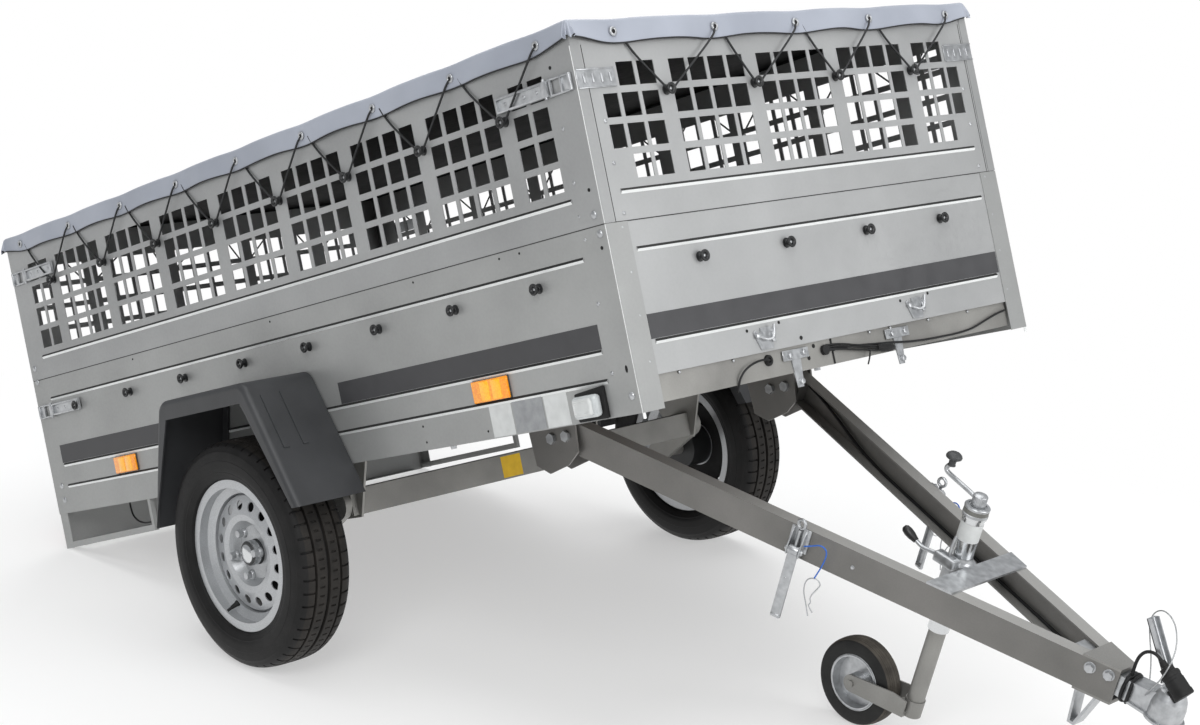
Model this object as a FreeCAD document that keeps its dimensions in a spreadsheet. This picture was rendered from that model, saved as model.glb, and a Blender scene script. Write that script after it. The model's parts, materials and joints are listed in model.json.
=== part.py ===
import FreeCAD, Part
import math
import os
import Sketcher
from FreeCAD import Placement, Rotation, Vector

os.makedirs("parts", exist_ok=True)
doc = FreeCAD.newDocument("UtilityTrailer")
sheet = doc.addObject("Spreadsheet::Sheet", "Sizes")

# Driving sizes in millimetres and degrees.
# Box frame: x runs forward from the tail, y to the left, z up from the lower edge of the sides.
# Drawbar frame: origin on the hinge axis, x forward along the V, z square to the V.
sizeTable = {
    "boxLength": 2400, "boxWidth": 1290, "sideHeight": 378, "meshHeight": 400,
    "sheetWall": 2, "frameWall": 4, "seamGap": 1, "seatGap": 0.3, "cutOverrun": 1,
    "wrapWidth": 60, "meshWrapWidth": 25,
    "floorLevel": 68, "floorThickness": 12, "floorMargin": 28,
    "beadHeight": 3, "beadWidth": 12, "beadMargin": 83,
    "upperBeadLevel": 320, "lowerBeadLevel": 133, "stepBeadLevel": 74, "meshBeadLevel": 60,
    "windowWidth": 48, "windowHeight": 48.5, "windowPitch": 60.5, "windowRise": 62.5,
    "windowStart": 83, "groupPitch": 277, "frontGroupPitch": 267.5, "frontWindowPitch": 58.5,
    "endWindowWidth": 40,
    "frameHeight": 56, "railWidth": 38, "railInset": 50, "sillDepth": 40, "sillSetback": 8,
    "hingeRailReach": 438, "memberWidth": 40, "rearMemberX": 60,
    "middleMemberX": 760, "hingeMemberSetback": 638,
    "tailDrop": 98, "tailWidth": 602, "tailDepth": 40, "tailTop": 60,
    "postWidth": 40, "skirtLength": 490, "skirtRise": 14, "skirtDepth": 16, "skirtStrut": 12,
    "gateClearance": 5, "gateDepth": 20, "gateLift": 4, "gateBarrelRadius": 9,
    "gatePinRadius": 5, "gatePinReach": 14, "gateAxisX": 12, "gateAxisLift": 9, "gatePlay": 0.05,
    "coverSkirt": 53, "coverTopGap": 4, "coverSheet": 3, "coverPlay": 1,
    "knobBase": 11, "knobNeck": 5.5, "knobHead": 9.5, "knobFoot": 4, "knobStem": 12, "knobCap": 8,
    "lowKnobLevel": 286, "highKnobLevel": 633,
    "claspLength": 112, "claspHeight": 28, "claspThickness": 9, "claspInset": 22, "claspWall": 2,
    "claspLevel": 667, "gateClaspLevel": 289, "strapLength": 84, "claspBlock": 16, "claspRod": 4,
    "reflectorLength": 110, "reflectorHeight": 44, "reflectorDepth": 8,
    "reflectorLevel": 104, "frontReflectorSetback": 438, "rearReflectorX": 420, "lensCorner": 6,
    "lampLength": 72, "lampHeight": 46, "lampDepth": 34, "lampPad": 8, "lampPadMargin": 9,
    "lampSetback": 138, "lampLevel": 32,
    "rearLampLength": 190, "rearLampHeight": 88, "rearLampDepth": 40, "rearLampReach": 590,
    "wheelX": 1125, "wheelTrack": 1500, "wheelDrop": 162, "tyreRadius": 273.5, "tyreWidth": 155,
    "beadSeat": 165, "flangeRadius": 182, "rimWidth": 114, "rimWall": 3, "flangeWall": 4,
    "wellRadius": 147, "discHoleRadius": 11.5, "discHoleCircle": 116, "discBore": 31,
    "hubRadius": 58, "hubDepth": 66, "hubCapRadius": 30, "hubCapReach": 32,
    "stubRadius": 17, "runningPlay": 0.05,
    "beamX": 1270, "beamDrop": 94, "beamSize": 62, "beamReach": 588,
    "armGap": 2, "armThickness": 18, "armEndRadius": 34, "armHubRadius": 30,
    "bracketPlate": 6, "bracketReach": 566, "bracketLength": 200,
    "guardWidth": 195, "guardWall": 4, "guardTop": 232, "guardFoot": 68, "guardLip": 46,
    "guardBottomHalf": 312, "guardTopHalf": 186, "guardCentreX": 1137,
    "guardCorner": 40, "guardRound": 14, "guardFlange": 30, "guardRib": 2.5, "guardRibWidth": 16,
    "hingeSetback": 512, "hingeDrop": 30, "hingeBoltRadius": 8, "hingeEyeRadius": 20, "cheekWall": 5,
    "eyeOuter": 393, "eyeLength": 41, "cheekGap": 4, "innerCheekGap": 14, "cheekDepth": 108, "cheekLength": 161,
    "boltHead": 13, "boltHeadDepth": 8, "stopBoltOffset": 49,
    "hookReach": 254, "hookWidth": 32, "hookHeight": 46, "hookLevel": 96, "hookPlate": 3,
    "tongueReach": 172, "tongueWidth": 34, "tongueTop": 60, "tongueDrop": 20,
    "vLength": 1331, "vHalfWidth": 395, "armHeight": 72, "armFlange": 36, "armWall": 4,
    "armStart": 6, "armEnd": 1240, "openedAngle": 33.69,
    "nosePlateStart": 1163, "nosePlateWall": 5,
    "crossPlateStart": 832, "crossPlateEnd": 887, "crossPlateWall": 5,
    "jockeyX": 806, "clampWall": 8, "clampHeight": 54,
    "outerTubeRadius": 24, "outerTubeTop": 152, "outerTubeBottom": 130,
    "innerTubeRadius": 19.5, "innerTubeTop": 20, "tubeCapRadius": 27, "tubeCapHeight": 22,
    "crankCapRadius": 16, "crankCapHeight": 28, "crankRod": 5.5, "crankReach": 98, "crankRise": 24,
    "crankStem": 22, "crankKnob": 17, "crankKnobHeight": 20,
    "clampLeverReach": 108, "clampLeverOffset": 42, "clampLeverRod": 5, "clampGrip": 10, "clampPad": 24,
    "jockeyTrail": 148, "forkDrop": 45, "forkPlate": 4, "forkGap": 60, "forkHeadRadius": 22,
    "forkHeadHeight": 40, "spigotRadius": 10, "spigotLength": 30, "jockeyRadius": 100,
    "jockeyWidth": 50, "jockeyRimRadius": 62, "jockeyHubRadius": 20, "jockeyPinRadius": 8,
    "jockeyHubWidth": 54,
    "couplingNeckStart": 1120, "couplingNeckLow": 18, "couplingNeckTop": 28,
    "socketX": 1343, "socketRadius": 25.2, "socketDepth": 44, "couplingHeadRadius": 36,
    "couplingHeadTop": 58, "couplingHeadBottom": 16, "couplingFlange": 5, "couplingShoulder": 12,
    "handleWidth": 28, "handleThickness": 12, "handleRun": 72, "handleRise": 104,
    "handleFootX": 1316,
    "leadRadius": 3.5, "leadTurnStart": 1249, "leadPlay": 0.5,
    "plugRadius": 20, "plugLength": 56, "plugBoot": 12, "plugCollar": 10, "plugLean": 30,
    "wireRadius": 1.5, "cableRadius": 2.5, "grommetRadius": 11,
    "footStart": 1150, "footEnd": 1206, "footTip": 1165, "footDepth": 92, "footStrip": 6,
    "footWidth": 36,
    "latchX": 558, "latchPlate": 5, "latchLength": 46, "latchLever": 24, "latchReach": 26,
    "latchDrop": 180, "latchRise": 44, "latchCheek": 4, "latchPin": 6, "latchEye": 13, "latchEyeBore": 7,
}
for row, (alias, number) in enumerate(sizeTable.items(), start=1):
    sheet.set(f"A{row}", alias)
    sheet.set(f"B{row}", str(number))
    sheet.setAlias(f"B{row}", alias)
doc.recompute()


class Size(float):
    """A length that knows both its value and the sheet expression it comes from."""

    def __new__(cls, value, text):
        size = super().__new__(cls, value)
        size.text = text
        return size

    def __add__(self, other):
        return Size(float(self) + float(other), f"({self.text} + {wording(other)})")

    def __radd__(self, other):
        return Size(float(other) + float(self), f"({wording(other)} + {self.text})")

    def __sub__(self, other):
        return Size(float(self) - float(other), f"({self.text} - {wording(other)})")

    def __rsub__(self, other):
        return Size(float(other) - float(self), f"({wording(other)} - {self.text})")

    def __mul__(self, other):
        return Size(float(self) * float(other), f"({self.text} * {wording(other)})")

    __rmul__ = __mul__

    def __truediv__(self, other):
        return Size(float(self) / float(other), f"({self.text} / {wording(other)})")

    def __neg__(self):
        return Size(-float(self), f"(0 - {self.text})")


def wording(number):
    return number.text if isinstance(number, Size) else f"{float(number):.9f}"


class Sizes:
    """The sheet's cells as attributes, such as sizes.boxLength."""

    def __getattr__(self, alias):
        return Size(float(sheet.get(alias)), f"{sheet.Name}.{alias}")


def sized(number):
    return number if isinstance(number, Size) else Size(number, wording(number))


sizes = Sizes()
boxHalf = sizes.boxWidth / 2
hingeX = sizes.boxLength - sizes.hingeSetback
hingeMemberX = sizes.boxLength - sizes.hingeMemberSetback


def originPlane(body, role):
    return next(plane for plane in body.Origin.OriginFeatures if plane.Role == role)


def newBody(name):
    body = doc.addObject("PartDesign::Body", name)
    body.Label = name
    body.AllowCompound = True
    return body


def drawSketch(body, plane, outlines, depth):
    """A sketch on an origin plane, moved by depth along the sketch's own normal."""
    sketch = body.newObject("Sketcher::SketchObject", "Sketch")
    sketch.AttachmentSupport = (originPlane(body, plane), [""])
    sketch.MapMode = "FlatFace"
    if isinstance(depth, Size):
        sketch.setExpression("AttachmentOffset.Base.z", depth.text)
    rules = []
    bound = []
    for outline in outlines:
        if outline[0] == "circle":
            circle, across, up, radius = outline
            geometry = sketch.addGeometry(Part.Circle(Vector(across, up, 0), Vector(0, 0, 1), radius))
            ends = ((across, "DistanceX", 3), (up, "DistanceY", 3))
            rules.append(Sketcher.Constraint("Radius", geometry, float(radius)))
            bound.append((len(rules) - 1, radius))
            for number, kind, vertex in ends:
                rules.append(Sketcher.Constraint(kind, -1, 1, geometry, vertex, float(number)))
                bound.append((len(rules) - 1, number))
            continue
        first = sketch.GeometryCount
        count = len(outline)
        for index, (across, up) in enumerate(outline):
            nextAcross, nextUp = outline[(index + 1) % count]
            sketch.addGeometry(Part.LineSegment(Vector(across, up, 0), Vector(nextAcross, nextUp, 0)))
        for index, (across, up) in enumerate(outline):
            follower = first + (index + 1) % count
            rules.append(Sketcher.Constraint("Coincident", first + index, 2, follower, 1))
            for number, kind in ((across, "DistanceX"), (up, "DistanceY")):
                rules.append(Sketcher.Constraint(kind, -1, 1, first + index, 1, float(number)))
                bound.append((len(rules) - 1, number))
    sketch.addConstraint(rules)
    for index, number in bound:
        if isinstance(number, Size):
            sketch.setExpression(f"Constraints[{index}]", number.text)
    return sketch


def slab(body, plane, outlines, start, end):
    """Adds material between two coordinates, start and end, along the axis square to the plane."""
    depth = -end if plane == "XZ_Plane" else start
    pad = body.newObject("PartDesign::Pad", "Pad")
    pad.Profile = drawSketch(body, plane, outlines, sized(depth))
    pad.setExpression("Length", sized(end - start).text)
    body.Tip = pad
    return pad


def cut(body, plane, outlines, start, end):
    """Removes material between two coordinates, start and end, along the axis square to the plane."""
    depth = -start if plane == "XZ_Plane" else end
    pocket = body.newObject("PartDesign::Pocket", "Pocket")
    pocket.Profile = drawSketch(body, plane, outlines, sized(depth))
    pocket.setExpression("Length", sized(end - start).text)
    body.Tip = pocket
    return pocket


def turn(body, outline):
    """Revolves an outline of (radius, distance along Y) points about the Y axis."""
    sketch = drawSketch(body, "XY_Plane", [outline], 0)
    revolution = body.newObject("PartDesign::Revolution", "Revolution")
    revolution.Profile = sketch
    revolution.ReferenceAxis = (sketch, ["V_Axis"])
    body.Tip = revolution
    return revolution


def turnUpright(body, outline, across):
    """Revolves an outline of (distance from the axis, height) points about an upright axis at across."""
    placed = [(across + radius, height) for radius, height in outline]
    sketch = drawSketch(body, "XZ_Plane", [placed], 0)
    axis = sketch.addGeometry(Part.LineSegment(Vector(across, 0, 0), Vector(across, sizes.boxWidth, 0)))
    sketch.toggleConstruction(axis)
    sketch.addConstraint([
        Sketcher.Constraint("Vertical", axis),
        Sketcher.Constraint("DistanceX", -1, 1, axis, 1, float(across)),
        Sketcher.Constraint("DistanceY", -1, 1, axis, 1, 0.0),
        Sketcher.Constraint("DistanceY", axis, 1, axis, 2, float(sizes.boxWidth)),
    ])
    if isinstance(across, Size):
        sketch.setExpression(f"Constraints[{sketch.ConstraintCount - 3}]", across.text)
    revolution = body.newObject("PartDesign::Revolution", "Revolution")
    revolution.Profile = sketch
    revolution.ReferenceAxis = (sketch, ["Axis0"])
    body.Tip = revolution
    return revolution


def rectangle(left, low, right, high):
    return [(left, low), (right, low), (right, high), (left, high)]


def centred(across, up, width, height):
    return rectangle(across - width / 2, up - height / 2, across + width / 2, up + height / 2)


def ring(across, up, radius, count):
    """A regular outline of count corners round a point."""
    turns = [2 * math.pi * (index + 0.5) / count for index in range(count)]
    return [(across + radius * math.cos(turned), up + radius * math.sin(turned)) for turned in turns]


def strip(points, width):
    """The outline of a bent bar of even width that follows a row of points."""
    count = len(points)
    runs = []
    for (across, up), (nextAcross, nextUp) in zip(points, points[1:]):
        run = Vector(nextAcross - across, nextUp - up, 0)
        runs.append(run.normalize())
    left = []
    right = []
    for index, (across, up) in enumerate(points):
        before = runs[max(index - 1, 0)]
        after = runs[min(index, count - 2)]
        spread = 1 + before.dot(after)
        aside = -(before.y + after.y) / spread
        above = (before.x + after.x) / spread
        left.append((across + width / 2 * aside, up + width / 2 * above))
        right.append((across - width / 2 * aside, up - width / 2 * above))
    return left + right[::-1]


def soften(body, radius, chosen):
    """Rounds those edges of the body that chosen accepts."""
    doc.recompute()
    base = body.Tip
    names = [f"Edge{index}" for index, edge in enumerate(base.Shape.Edges, start=1) if chosen(edge)]
    fillet = body.newObject("PartDesign::Fillet", "Fillet")
    fillet.Base = (base, names)
    fillet.setExpression("Radius", sized(radius).text)
    body.Tip = fillet
    return fillet


def runsAlong(edge, direction):
    """Whether a straight edge points along a direction."""
    ends = [vertex.Point for vertex in edge.Vertexes]
    if len(ends) != 2:
        return False
    run = ends[1] - ends[0]
    return run.Length > 0 and abs(run.normalize().dot(direction)) > 1 - 1e-6


def alike(body, axis, made, count, pitch):
    """Repeats some features of a body along one of its axes."""
    pattern = body.newObject("PartDesign::LinearPattern", "LinearPattern")
    pattern.Originals = made
    pattern.Direction = (originAxis(body, axis), [""])
    pattern.setExpression("Length", sized(pitch * (count - 1)).text)
    pattern.Occurrences = count
    body.Tip = pattern
    return pattern


def originAxis(body, role):
    return next(axis for axis in body.Origin.OriginFeatures if axis.Role == role)


def reach(side, inner, outer):
    """The two coordinates, lowest first, between two distances from the middle on one side."""
    return (inner, outer) if side > 0 else (-outer, -inner)


# Where each frame stands: the box leans back until its tail meets the floor.
axleDrop = sizes.wheelDrop - sizes.tailDrop
tipAngle = math.degrees(
    math.asin(sizes.tyreRadius / math.hypot(sizes.wheelX, axleDrop)) + math.atan2(axleDrop, sizes.wheelX)
)
boxTurn = Rotation(Vector(0, 1, 0), -tipAngle)
wheelSpot = Vector(sizes.wheelX, 0, -sizes.wheelDrop)
boxFrame = Placement(Vector(0, 0, sizes.tyreRadius) - boxTurn.multVec(wheelSpot), boxTurn)
hingeSpot = boxFrame.multVec(Vector(hingeX, 0, -sizes.hingeDrop))
drawbarSlope = sizes.openedAngle - tipAngle
drawbarFrame = Placement(hingeSpot, Rotation(Vector(0, 1, 0), drawbarSlope))

pieces = []


def keep(body, frame):
    pieces.append((body, frame))
    return body


wall = sizes.sheetWall
seam = sizes.sideHeight + sizes.seamGap
boxTop = sizes.sideHeight + sizes.meshHeight
bothSides = (("right", -1), ("left", 1))
windowRows = 4


def bead(body, plane, side, level, start, end, face):
    """A pressed bead that runs along a panel, standing proud of its face."""
    low = level - sizes.beadWidth / 2
    high = level + sizes.beadWidth / 2
    proud = face + side * sizes.beadHeight
    inset = face - side * wall / 2
    outline = [(inset, low), (proud, level - sizes.beadHeight), (proud, level + sizes.beadHeight), (inset, high)]
    slab(body, plane, [outline], start, end)


def sidePanel(name, side):
    body = newBody(f"side_panel_{name}")
    outer = side * boxHalf
    inner = side * (boxHalf - wall)
    fold = side * (boxHalf - sizes.wrapWidth)
    plan = [(0, outer), (sizes.boxLength, outer), (sizes.boxLength, fold),
            (sizes.boxLength - wall, fold), (sizes.boxLength - wall, inner), (0, inner)]
    slab(body, "XY_Plane", [plan], 0, sizes.sideHeight)
    for level in (sizes.upperBeadLevel, sizes.lowerBeadLevel, sizes.stepBeadLevel):
        bead(body, "YZ_Plane", side, level, sizes.beadMargin, sizes.boxLength - sizes.beadMargin, outer)
    return keep(body, boxFrame)


def frontPanel():
    body = newBody("front_panel")
    face = sizes.boxLength - wall
    half = boxHalf - wall
    slab(body, "YZ_Plane", [rectangle(-half, sizes.floorLevel, half, sizes.sideHeight)], face - wall, face)
    span = boxHalf - sizes.wrapWidth - sizes.beadWidth
    for level in (sizes.upperBeadLevel, sizes.lowerBeadLevel):
        low = level - sizes.beadWidth / 2
        high = level + sizes.beadWidth / 2
        outline = [(face - wall / 2, low), (face + sizes.beadHeight, level - sizes.beadHeight),
                   (face + sizes.beadHeight, level + sizes.beadHeight), (face - wall / 2, high)]
        slab(body, "XZ_Plane", [outline], -span, span)
    return keep(body, boxFrame)


def windowBlock(across, columns, pitch):
    """The windows of some columns, as rectangles on the panel."""
    base = sizes.sideHeight + sizes.windowStart
    outlines = []
    for column in range(columns):
        left = across + pitch * column
        for row in range(windowRows):
            low = base + sizes.windowRise * row
            outlines.append(rectangle(left, low, left + sizes.windowWidth, low + sizes.windowHeight))
    return outlines


def cutWindows(body, plane, axis, middle, groups, groupPitch, pitch, near, far):
    """Groups of four columns about the middle, with two columns beyond them at each end."""
    barrier = groupPitch - pitch * 3 - sizes.windowWidth
    first = middle - groupPitch * (groups / 2) + barrier / 2
    group = cut(body, plane, windowBlock(first, 4, pitch), near, far)
    alike(body, axis, [group], groups, groupPitch)
    edge = groupPitch * (groups / 2) + barrier / 2
    last = windowBlock(middle + edge, 2, pitch)
    last += windowBlock(middle - edge - pitch - sizes.windowWidth, 2, pitch)
    cut(body, plane, last, near, far)


def meshSide(name, side):
    body = newBody(f"mesh_side_{name}")
    outer = side * boxHalf
    inner = side * (boxHalf - wall)
    fold = side * (boxHalf - sizes.meshWrapWidth)
    plan = [(wall + sizes.seatGap, outer), (sizes.boxLength, outer), (sizes.boxLength, fold),
            (sizes.boxLength - wall, fold), (sizes.boxLength - wall, inner), (wall + sizes.seatGap, inner)]
    slab(body, "XY_Plane", [plan], seam, boxTop)
    near, far = reach(side, boxHalf - wall - sizes.cutOverrun, boxHalf + sizes.cutOverrun)
    cutWindows(body, "XZ_Plane", "X_Axis", sizes.boxLength / 2, 7, sizes.groupPitch, sizes.windowPitch, near, far)
    bead(body, "YZ_Plane", side, sizes.sideHeight + sizes.meshBeadLevel, sizes.beadMargin,
         sizes.boxLength - sizes.beadMargin, outer)
    return keep(body, boxFrame)


def meshEnd(name, start, face):
    body = newBody(name)
    half = boxHalf - wall if face > 0 else boxHalf
    slab(body, "YZ_Plane", [rectangle(-half, seam, half, boxTop)], start, start + wall)
    pitch = sizes.frontWindowPitch
    cutWindows(body, "YZ_Plane", "Y_Axis", 0, 3, sizes.frontGroupPitch, pitch,
               start - sizes.cutOverrun, start + wall + sizes.cutOverrun)
    barrier = sizes.frontGroupPitch - pitch * 3 - sizes.windowWidth
    inner = sizes.frontGroupPitch * 1.5 + barrier / 2 + pitch * 2
    low = sizes.sideHeight + sizes.windowStart + sizes.windowRise
    for side in (-1, 1):
        near, far = reach(side, inner, inner + sizes.endWindowWidth)
        ends = [rectangle(near, low + sizes.windowRise * row, far, low + sizes.windowRise * row + sizes.windowHeight)
                for row in range(2)]
        cut(body, "YZ_Plane", ends, start - sizes.cutOverrun, start + wall + sizes.cutOverrun)
    level = sizes.sideHeight + sizes.meshBeadLevel
    skin = start + wall if face > 0 else start
    root = skin - face * wall / 2
    proud = skin + face * sizes.beadHeight
    outline = [(root, level - sizes.beadWidth / 2), (proud, level - sizes.beadHeight),
               (proud, level + sizes.beadHeight), (root, level + sizes.beadWidth / 2)]
    span = boxHalf - sizes.wrapWidth
    slab(body, "XZ_Plane", [outline], -span, span)
    return keep(body, boxFrame)


def channel(across, up, width, height, openSide):
    """A C section with its web on the side away from openSide."""
    thick = sizes.frameWall
    if openSide > 0:
        return [(across, up), (across + width, up), (across + width, up + thick), (across + thick, up + thick),
                (across + thick, up + height - thick), (across + width, up + height - thick),
                (across + width, up + height), (across, up + height)]
    return [(across, up), (across + width, up), (across + width, up + height), (across, up + height),
            (across, up + height - thick), (across + width - thick, up + height - thick),
            (across + width - thick, up + thick), (across, up + thick)]


frameLow = sizes.floorLevel - sizes.frameHeight
sillFace = sizes.boxLength - sizes.sillSetback
railOuter = boxHalf - sizes.railInset


def frameRails():
    """Channel rails under the sides, and a shorter pair ahead of the hinge member that carries the drawbar."""
    body = newBody("frame_rails")
    front = sillFace - sizes.sillDepth - sizes.seatGap
    for name, side in bothSides:
        near, far = reach(side, railOuter - sizes.railWidth, railOuter)
        slab(body, "YZ_Plane", [channel(near, frameLow, far - near, sizes.frameHeight, -side)],
             sizes.rearMemberX, front)
        near, far = reach(side, sizes.hingeRailReach - sizes.railWidth, sizes.hingeRailReach)
        slab(body, "YZ_Plane", [channel(near, frameLow, far - near, sizes.frameHeight, side)],
             hingeMemberX + sizes.memberWidth + sizes.seatGap, front)
    return keep(body, boxFrame)


def crossMembers():
    """Channel members across the frame: behind the gate, in the middle, over the hinge, and the front sill."""
    body = newBody("frame_cross_members")
    inner = railOuter - sizes.railWidth - sizes.seatGap
    for start in (sizes.rearMemberX, sizes.middleMemberX, hingeMemberX):
        member = channel(start, frameLow, sizes.memberWidth, sizes.frameHeight, 1)
        slab(body, "XZ_Plane", [member], -inner, inner)
    span = boxHalf - sizes.wrapWidth
    sill = channel(sillFace - sizes.sillDepth, frameLow, sizes.sillDepth, sizes.frameHeight, -1)
    slab(body, "XZ_Plane", [sill], -span, span)
    return keep(body, boxFrame)


def floorPanel():
    body = newBody("floor_panel")
    half = boxHalf - wall - sizes.seatGap
    end = sizes.boxLength - wall * 2 - sizes.seatGap
    plan = [(sizes.floorMargin, -half), (end, -half), (end, half), (sizes.floorMargin, half)]
    slab(body, "XY_Plane", [plan], sizes.floorLevel, sizes.floorLevel + sizes.floorThickness)
    inner = half - sizes.postWidth
    for side in (-1, 1):
        near, far = reach(side, inner, half + sizes.cutOverrun)
        notch = rectangle(sizes.floorMargin - sizes.cutOverrun, near, sizes.postWidth + sizes.seatGap, far)
        cut(body, "XY_Plane", [notch], sizes.floorLevel - sizes.cutOverrun,
            sizes.floorLevel + sizes.floorThickness + sizes.cutOverrun)
    return keep(body, boxFrame)


def rearPosts():
    """Corner posts that reach down to the floor, with the side skirts that run forward from them."""
    body = newBody("rear_posts")
    for name, side in bothSides:
        outer = boxHalf - wall
        near, far = reach(side, outer - sizes.postWidth, outer)
        edge, skin = reach(side, outer - wall, outer)
        slab(body, "XY_Plane", [rectangle(0, near, wall, far)], -sizes.tailDrop, sizes.sideHeight)
        slab(body, "XY_Plane", [rectangle(0, edge, sizes.postWidth, skin)], -sizes.tailDrop, sizes.sideHeight)
        skirt = [(0, -sizes.tailDrop), (sizes.skirtLength, sizes.skirtRise - sizes.tailDrop),
                 (sizes.skirtLength, 0), (sizes.skirtLength - sizes.skirtStrut, 0),
                 (sizes.skirtLength - sizes.skirtStrut, sizes.skirtRise + sizes.skirtDepth - sizes.tailDrop),
                 (0, sizes.skirtDepth - sizes.tailDrop)]
        near, far = reach(side, outer - sizes.skirtStrut, outer)
        slab(body, "XZ_Plane", [skirt], near, far)
        pin = [("circle", sizes.gateAxisX, gateAxisLevel, sizes.gatePinRadius)]
        near, far = reach(side, sizes.tailWidth - sizes.gatePinReach, outer)
        slab(body, "XZ_Plane", pin, near, far)
    return keep(body, boxFrame)


def tailBar():
    body = newBody("tail_bar")
    half = boxHalf - wall - sizes.postWidth - sizes.seatGap
    outline = [(0, -sizes.tailDrop), (sizes.tailDepth, -sizes.tailDrop),
               (sizes.tailDepth, wall - sizes.tailDrop), (wall, wall - sizes.tailDrop),
               (wall, sizes.tailTop - wall), (sizes.rearMemberX, sizes.tailTop - wall),
               (sizes.rearMemberX, sizes.tailTop), (0, sizes.tailTop)]
    slab(body, "XZ_Plane", [outline], -half, half)
    return keep(body, boxFrame)


gateAxisLevel = sizes.floorLevel + sizes.gateLift + sizes.gateAxisLift


def tailgate():
    body = newBody("tailgate")
    half = boxHalf - wall - sizes.postWidth - sizes.gateClearance
    low = sizes.floorLevel + sizes.gateLift
    high = sizes.sideHeight - sizes.gateClearance
    start = wall
    slab(body, "YZ_Plane", [rectangle(-half, low, half, high)], start, start + wall)
    for side in (-1, 1):
        near, far = reach(side, half - wall, half)
        slab(body, "YZ_Plane", [rectangle(near, low, far, high)], start, start + sizes.gateDepth)
    slab(body, "YZ_Plane", [rectangle(-half, high - wall, half, high)], start, start + sizes.gateDepth)
    barrel = [("circle", sizes.gateAxisX, gateAxisLevel, sizes.gateBarrelRadius)]
    slab(body, "XZ_Plane", barrel, -half, half)
    bore = [("circle", sizes.gateAxisX, gateAxisLevel, sizes.gatePinRadius + sizes.gatePlay)]
    for side in (-1, 1):
        near, far = reach(side, half - sizes.gatePinReach * 2, half + sizes.cutOverrun)
        cut(body, "XZ_Plane", bore, near, far)
    for level in (sizes.upperBeadLevel, sizes.lowerBeadLevel):
        outline = [(start + wall / 2, level - sizes.beadWidth / 2), (start - sizes.beadHeight, level - sizes.beadHeight),
                   (start - sizes.beadHeight, level + sizes.beadHeight), (start + wall / 2, level + sizes.beadWidth / 2)]
        slab(body, "XZ_Plane", [outline], -half + sizes.wrapWidth, half - sizes.wrapWidth)
    return keep(body, boxFrame)


def cover():
    """The fabric cover: a flat top with a skirt over the upper edges of the box."""
    body = newBody("cover")
    inner = boxHalf + sizes.coverPlay
    outer = inner + sizes.coverSheet
    low = boxTop + sizes.coverTopGap - sizes.coverSkirt
    top = boxTop + sizes.coverTopGap
    front = sizes.boxLength + sizes.coverPlay
    plan = rectangle(-sizes.coverPlay - sizes.coverSheet, -outer, front + sizes.coverSheet, outer)
    slab(body, "XY_Plane", [plan], low, top + sizes.coverSheet)
    hollow = rectangle(-sizes.coverPlay, -inner, front, inner)
    cut(body, "XY_Plane", [hollow], low - sizes.cutOverrun, top)
    return keep(body, boxFrame)


def knobs():
    """The lashing knobs of the lower panels and the cover knobs of the mesh panels."""
    body = newBody("lashing_knobs")
    along = [sizes.boxLength / 2 + sizes.groupPitch * (index - 3.5) for index in range(8)]
    across = [sizes.frontGroupPitch * (index - 1.5) for index in range(4)]
    levels = (sizes.lowKnobLevel, sizes.highKnobLevel)
    stages = ((0, sizes.knobFoot, sizes.knobBase), (sizes.knobFoot, sizes.knobStem, sizes.knobNeck),
              (sizes.knobStem, sizes.knobStem + sizes.knobCap, sizes.knobHead))
    for near, far, radius in stages:
        for side in (-1, 1):
            spots = [("circle", spot, level, radius) for spot in along for level in levels]
            start, end = reach(side, boxHalf + near, boxHalf + far)
            slab(body, "XZ_Plane", spots, start, end)
        front = [("circle", spot, sizes.highKnobLevel, radius) for spot in across]
        slab(body, "YZ_Plane", front, sizes.boxLength - wall + near, sizes.boxLength - wall + far)
        front = [("circle", spot, sizes.lowKnobLevel, radius) for spot in across]
        slab(body, "YZ_Plane", front, sizes.boxLength - wall + near, sizes.boxLength - wall + far)
        rear = [("circle", spot, sizes.highKnobLevel, radius) for spot in across]
        slab(body, "YZ_Plane", rear, -far, -near)
    return keep(body, boxFrame)


leverShare = 0.55
hookShare = 0.3


def claspLayers(end, inward, level):
    """The outlines of an overcentre fastener: plate, lever flanges, lever web, pivot block, and loop."""
    half = sizes.claspHeight / 2
    hinge = sizes.claspLength * (1 - leverShare)
    aside = half * leverShare
    tip = -sizes.claspInset / 2

    def patch(first, second, low, high):
        near, far = (end + inward * first, end + inward * second)
        return rectangle(near, low, far, high) if inward > 0 else rectangle(far, low, near, high)

    plate = [patch(0, sizes.claspLength, level - half, level + half)]
    flanges = [patch(hinge, sizes.claspLength, level - half, level - half + sizes.claspWall),
               patch(hinge, sizes.claspLength, level + half - sizes.claspWall, level + half)]
    web = [patch(hinge, sizes.claspLength, level - half + sizes.claspWall, level + half - sizes.claspWall)]
    block = [patch(hinge - sizes.claspBlock, hinge, level - half, level + half)]
    rods = [patch(tip, hinge - sizes.claspBlock, level - aside - sizes.claspRod, level - aside),
            patch(tip, hinge - sizes.claspBlock, level + aside, level + aside + sizes.claspRod),
            patch(tip, tip + sizes.claspRod, level - aside, level + aside)]
    return plate, flanges, web, block, rods


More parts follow.
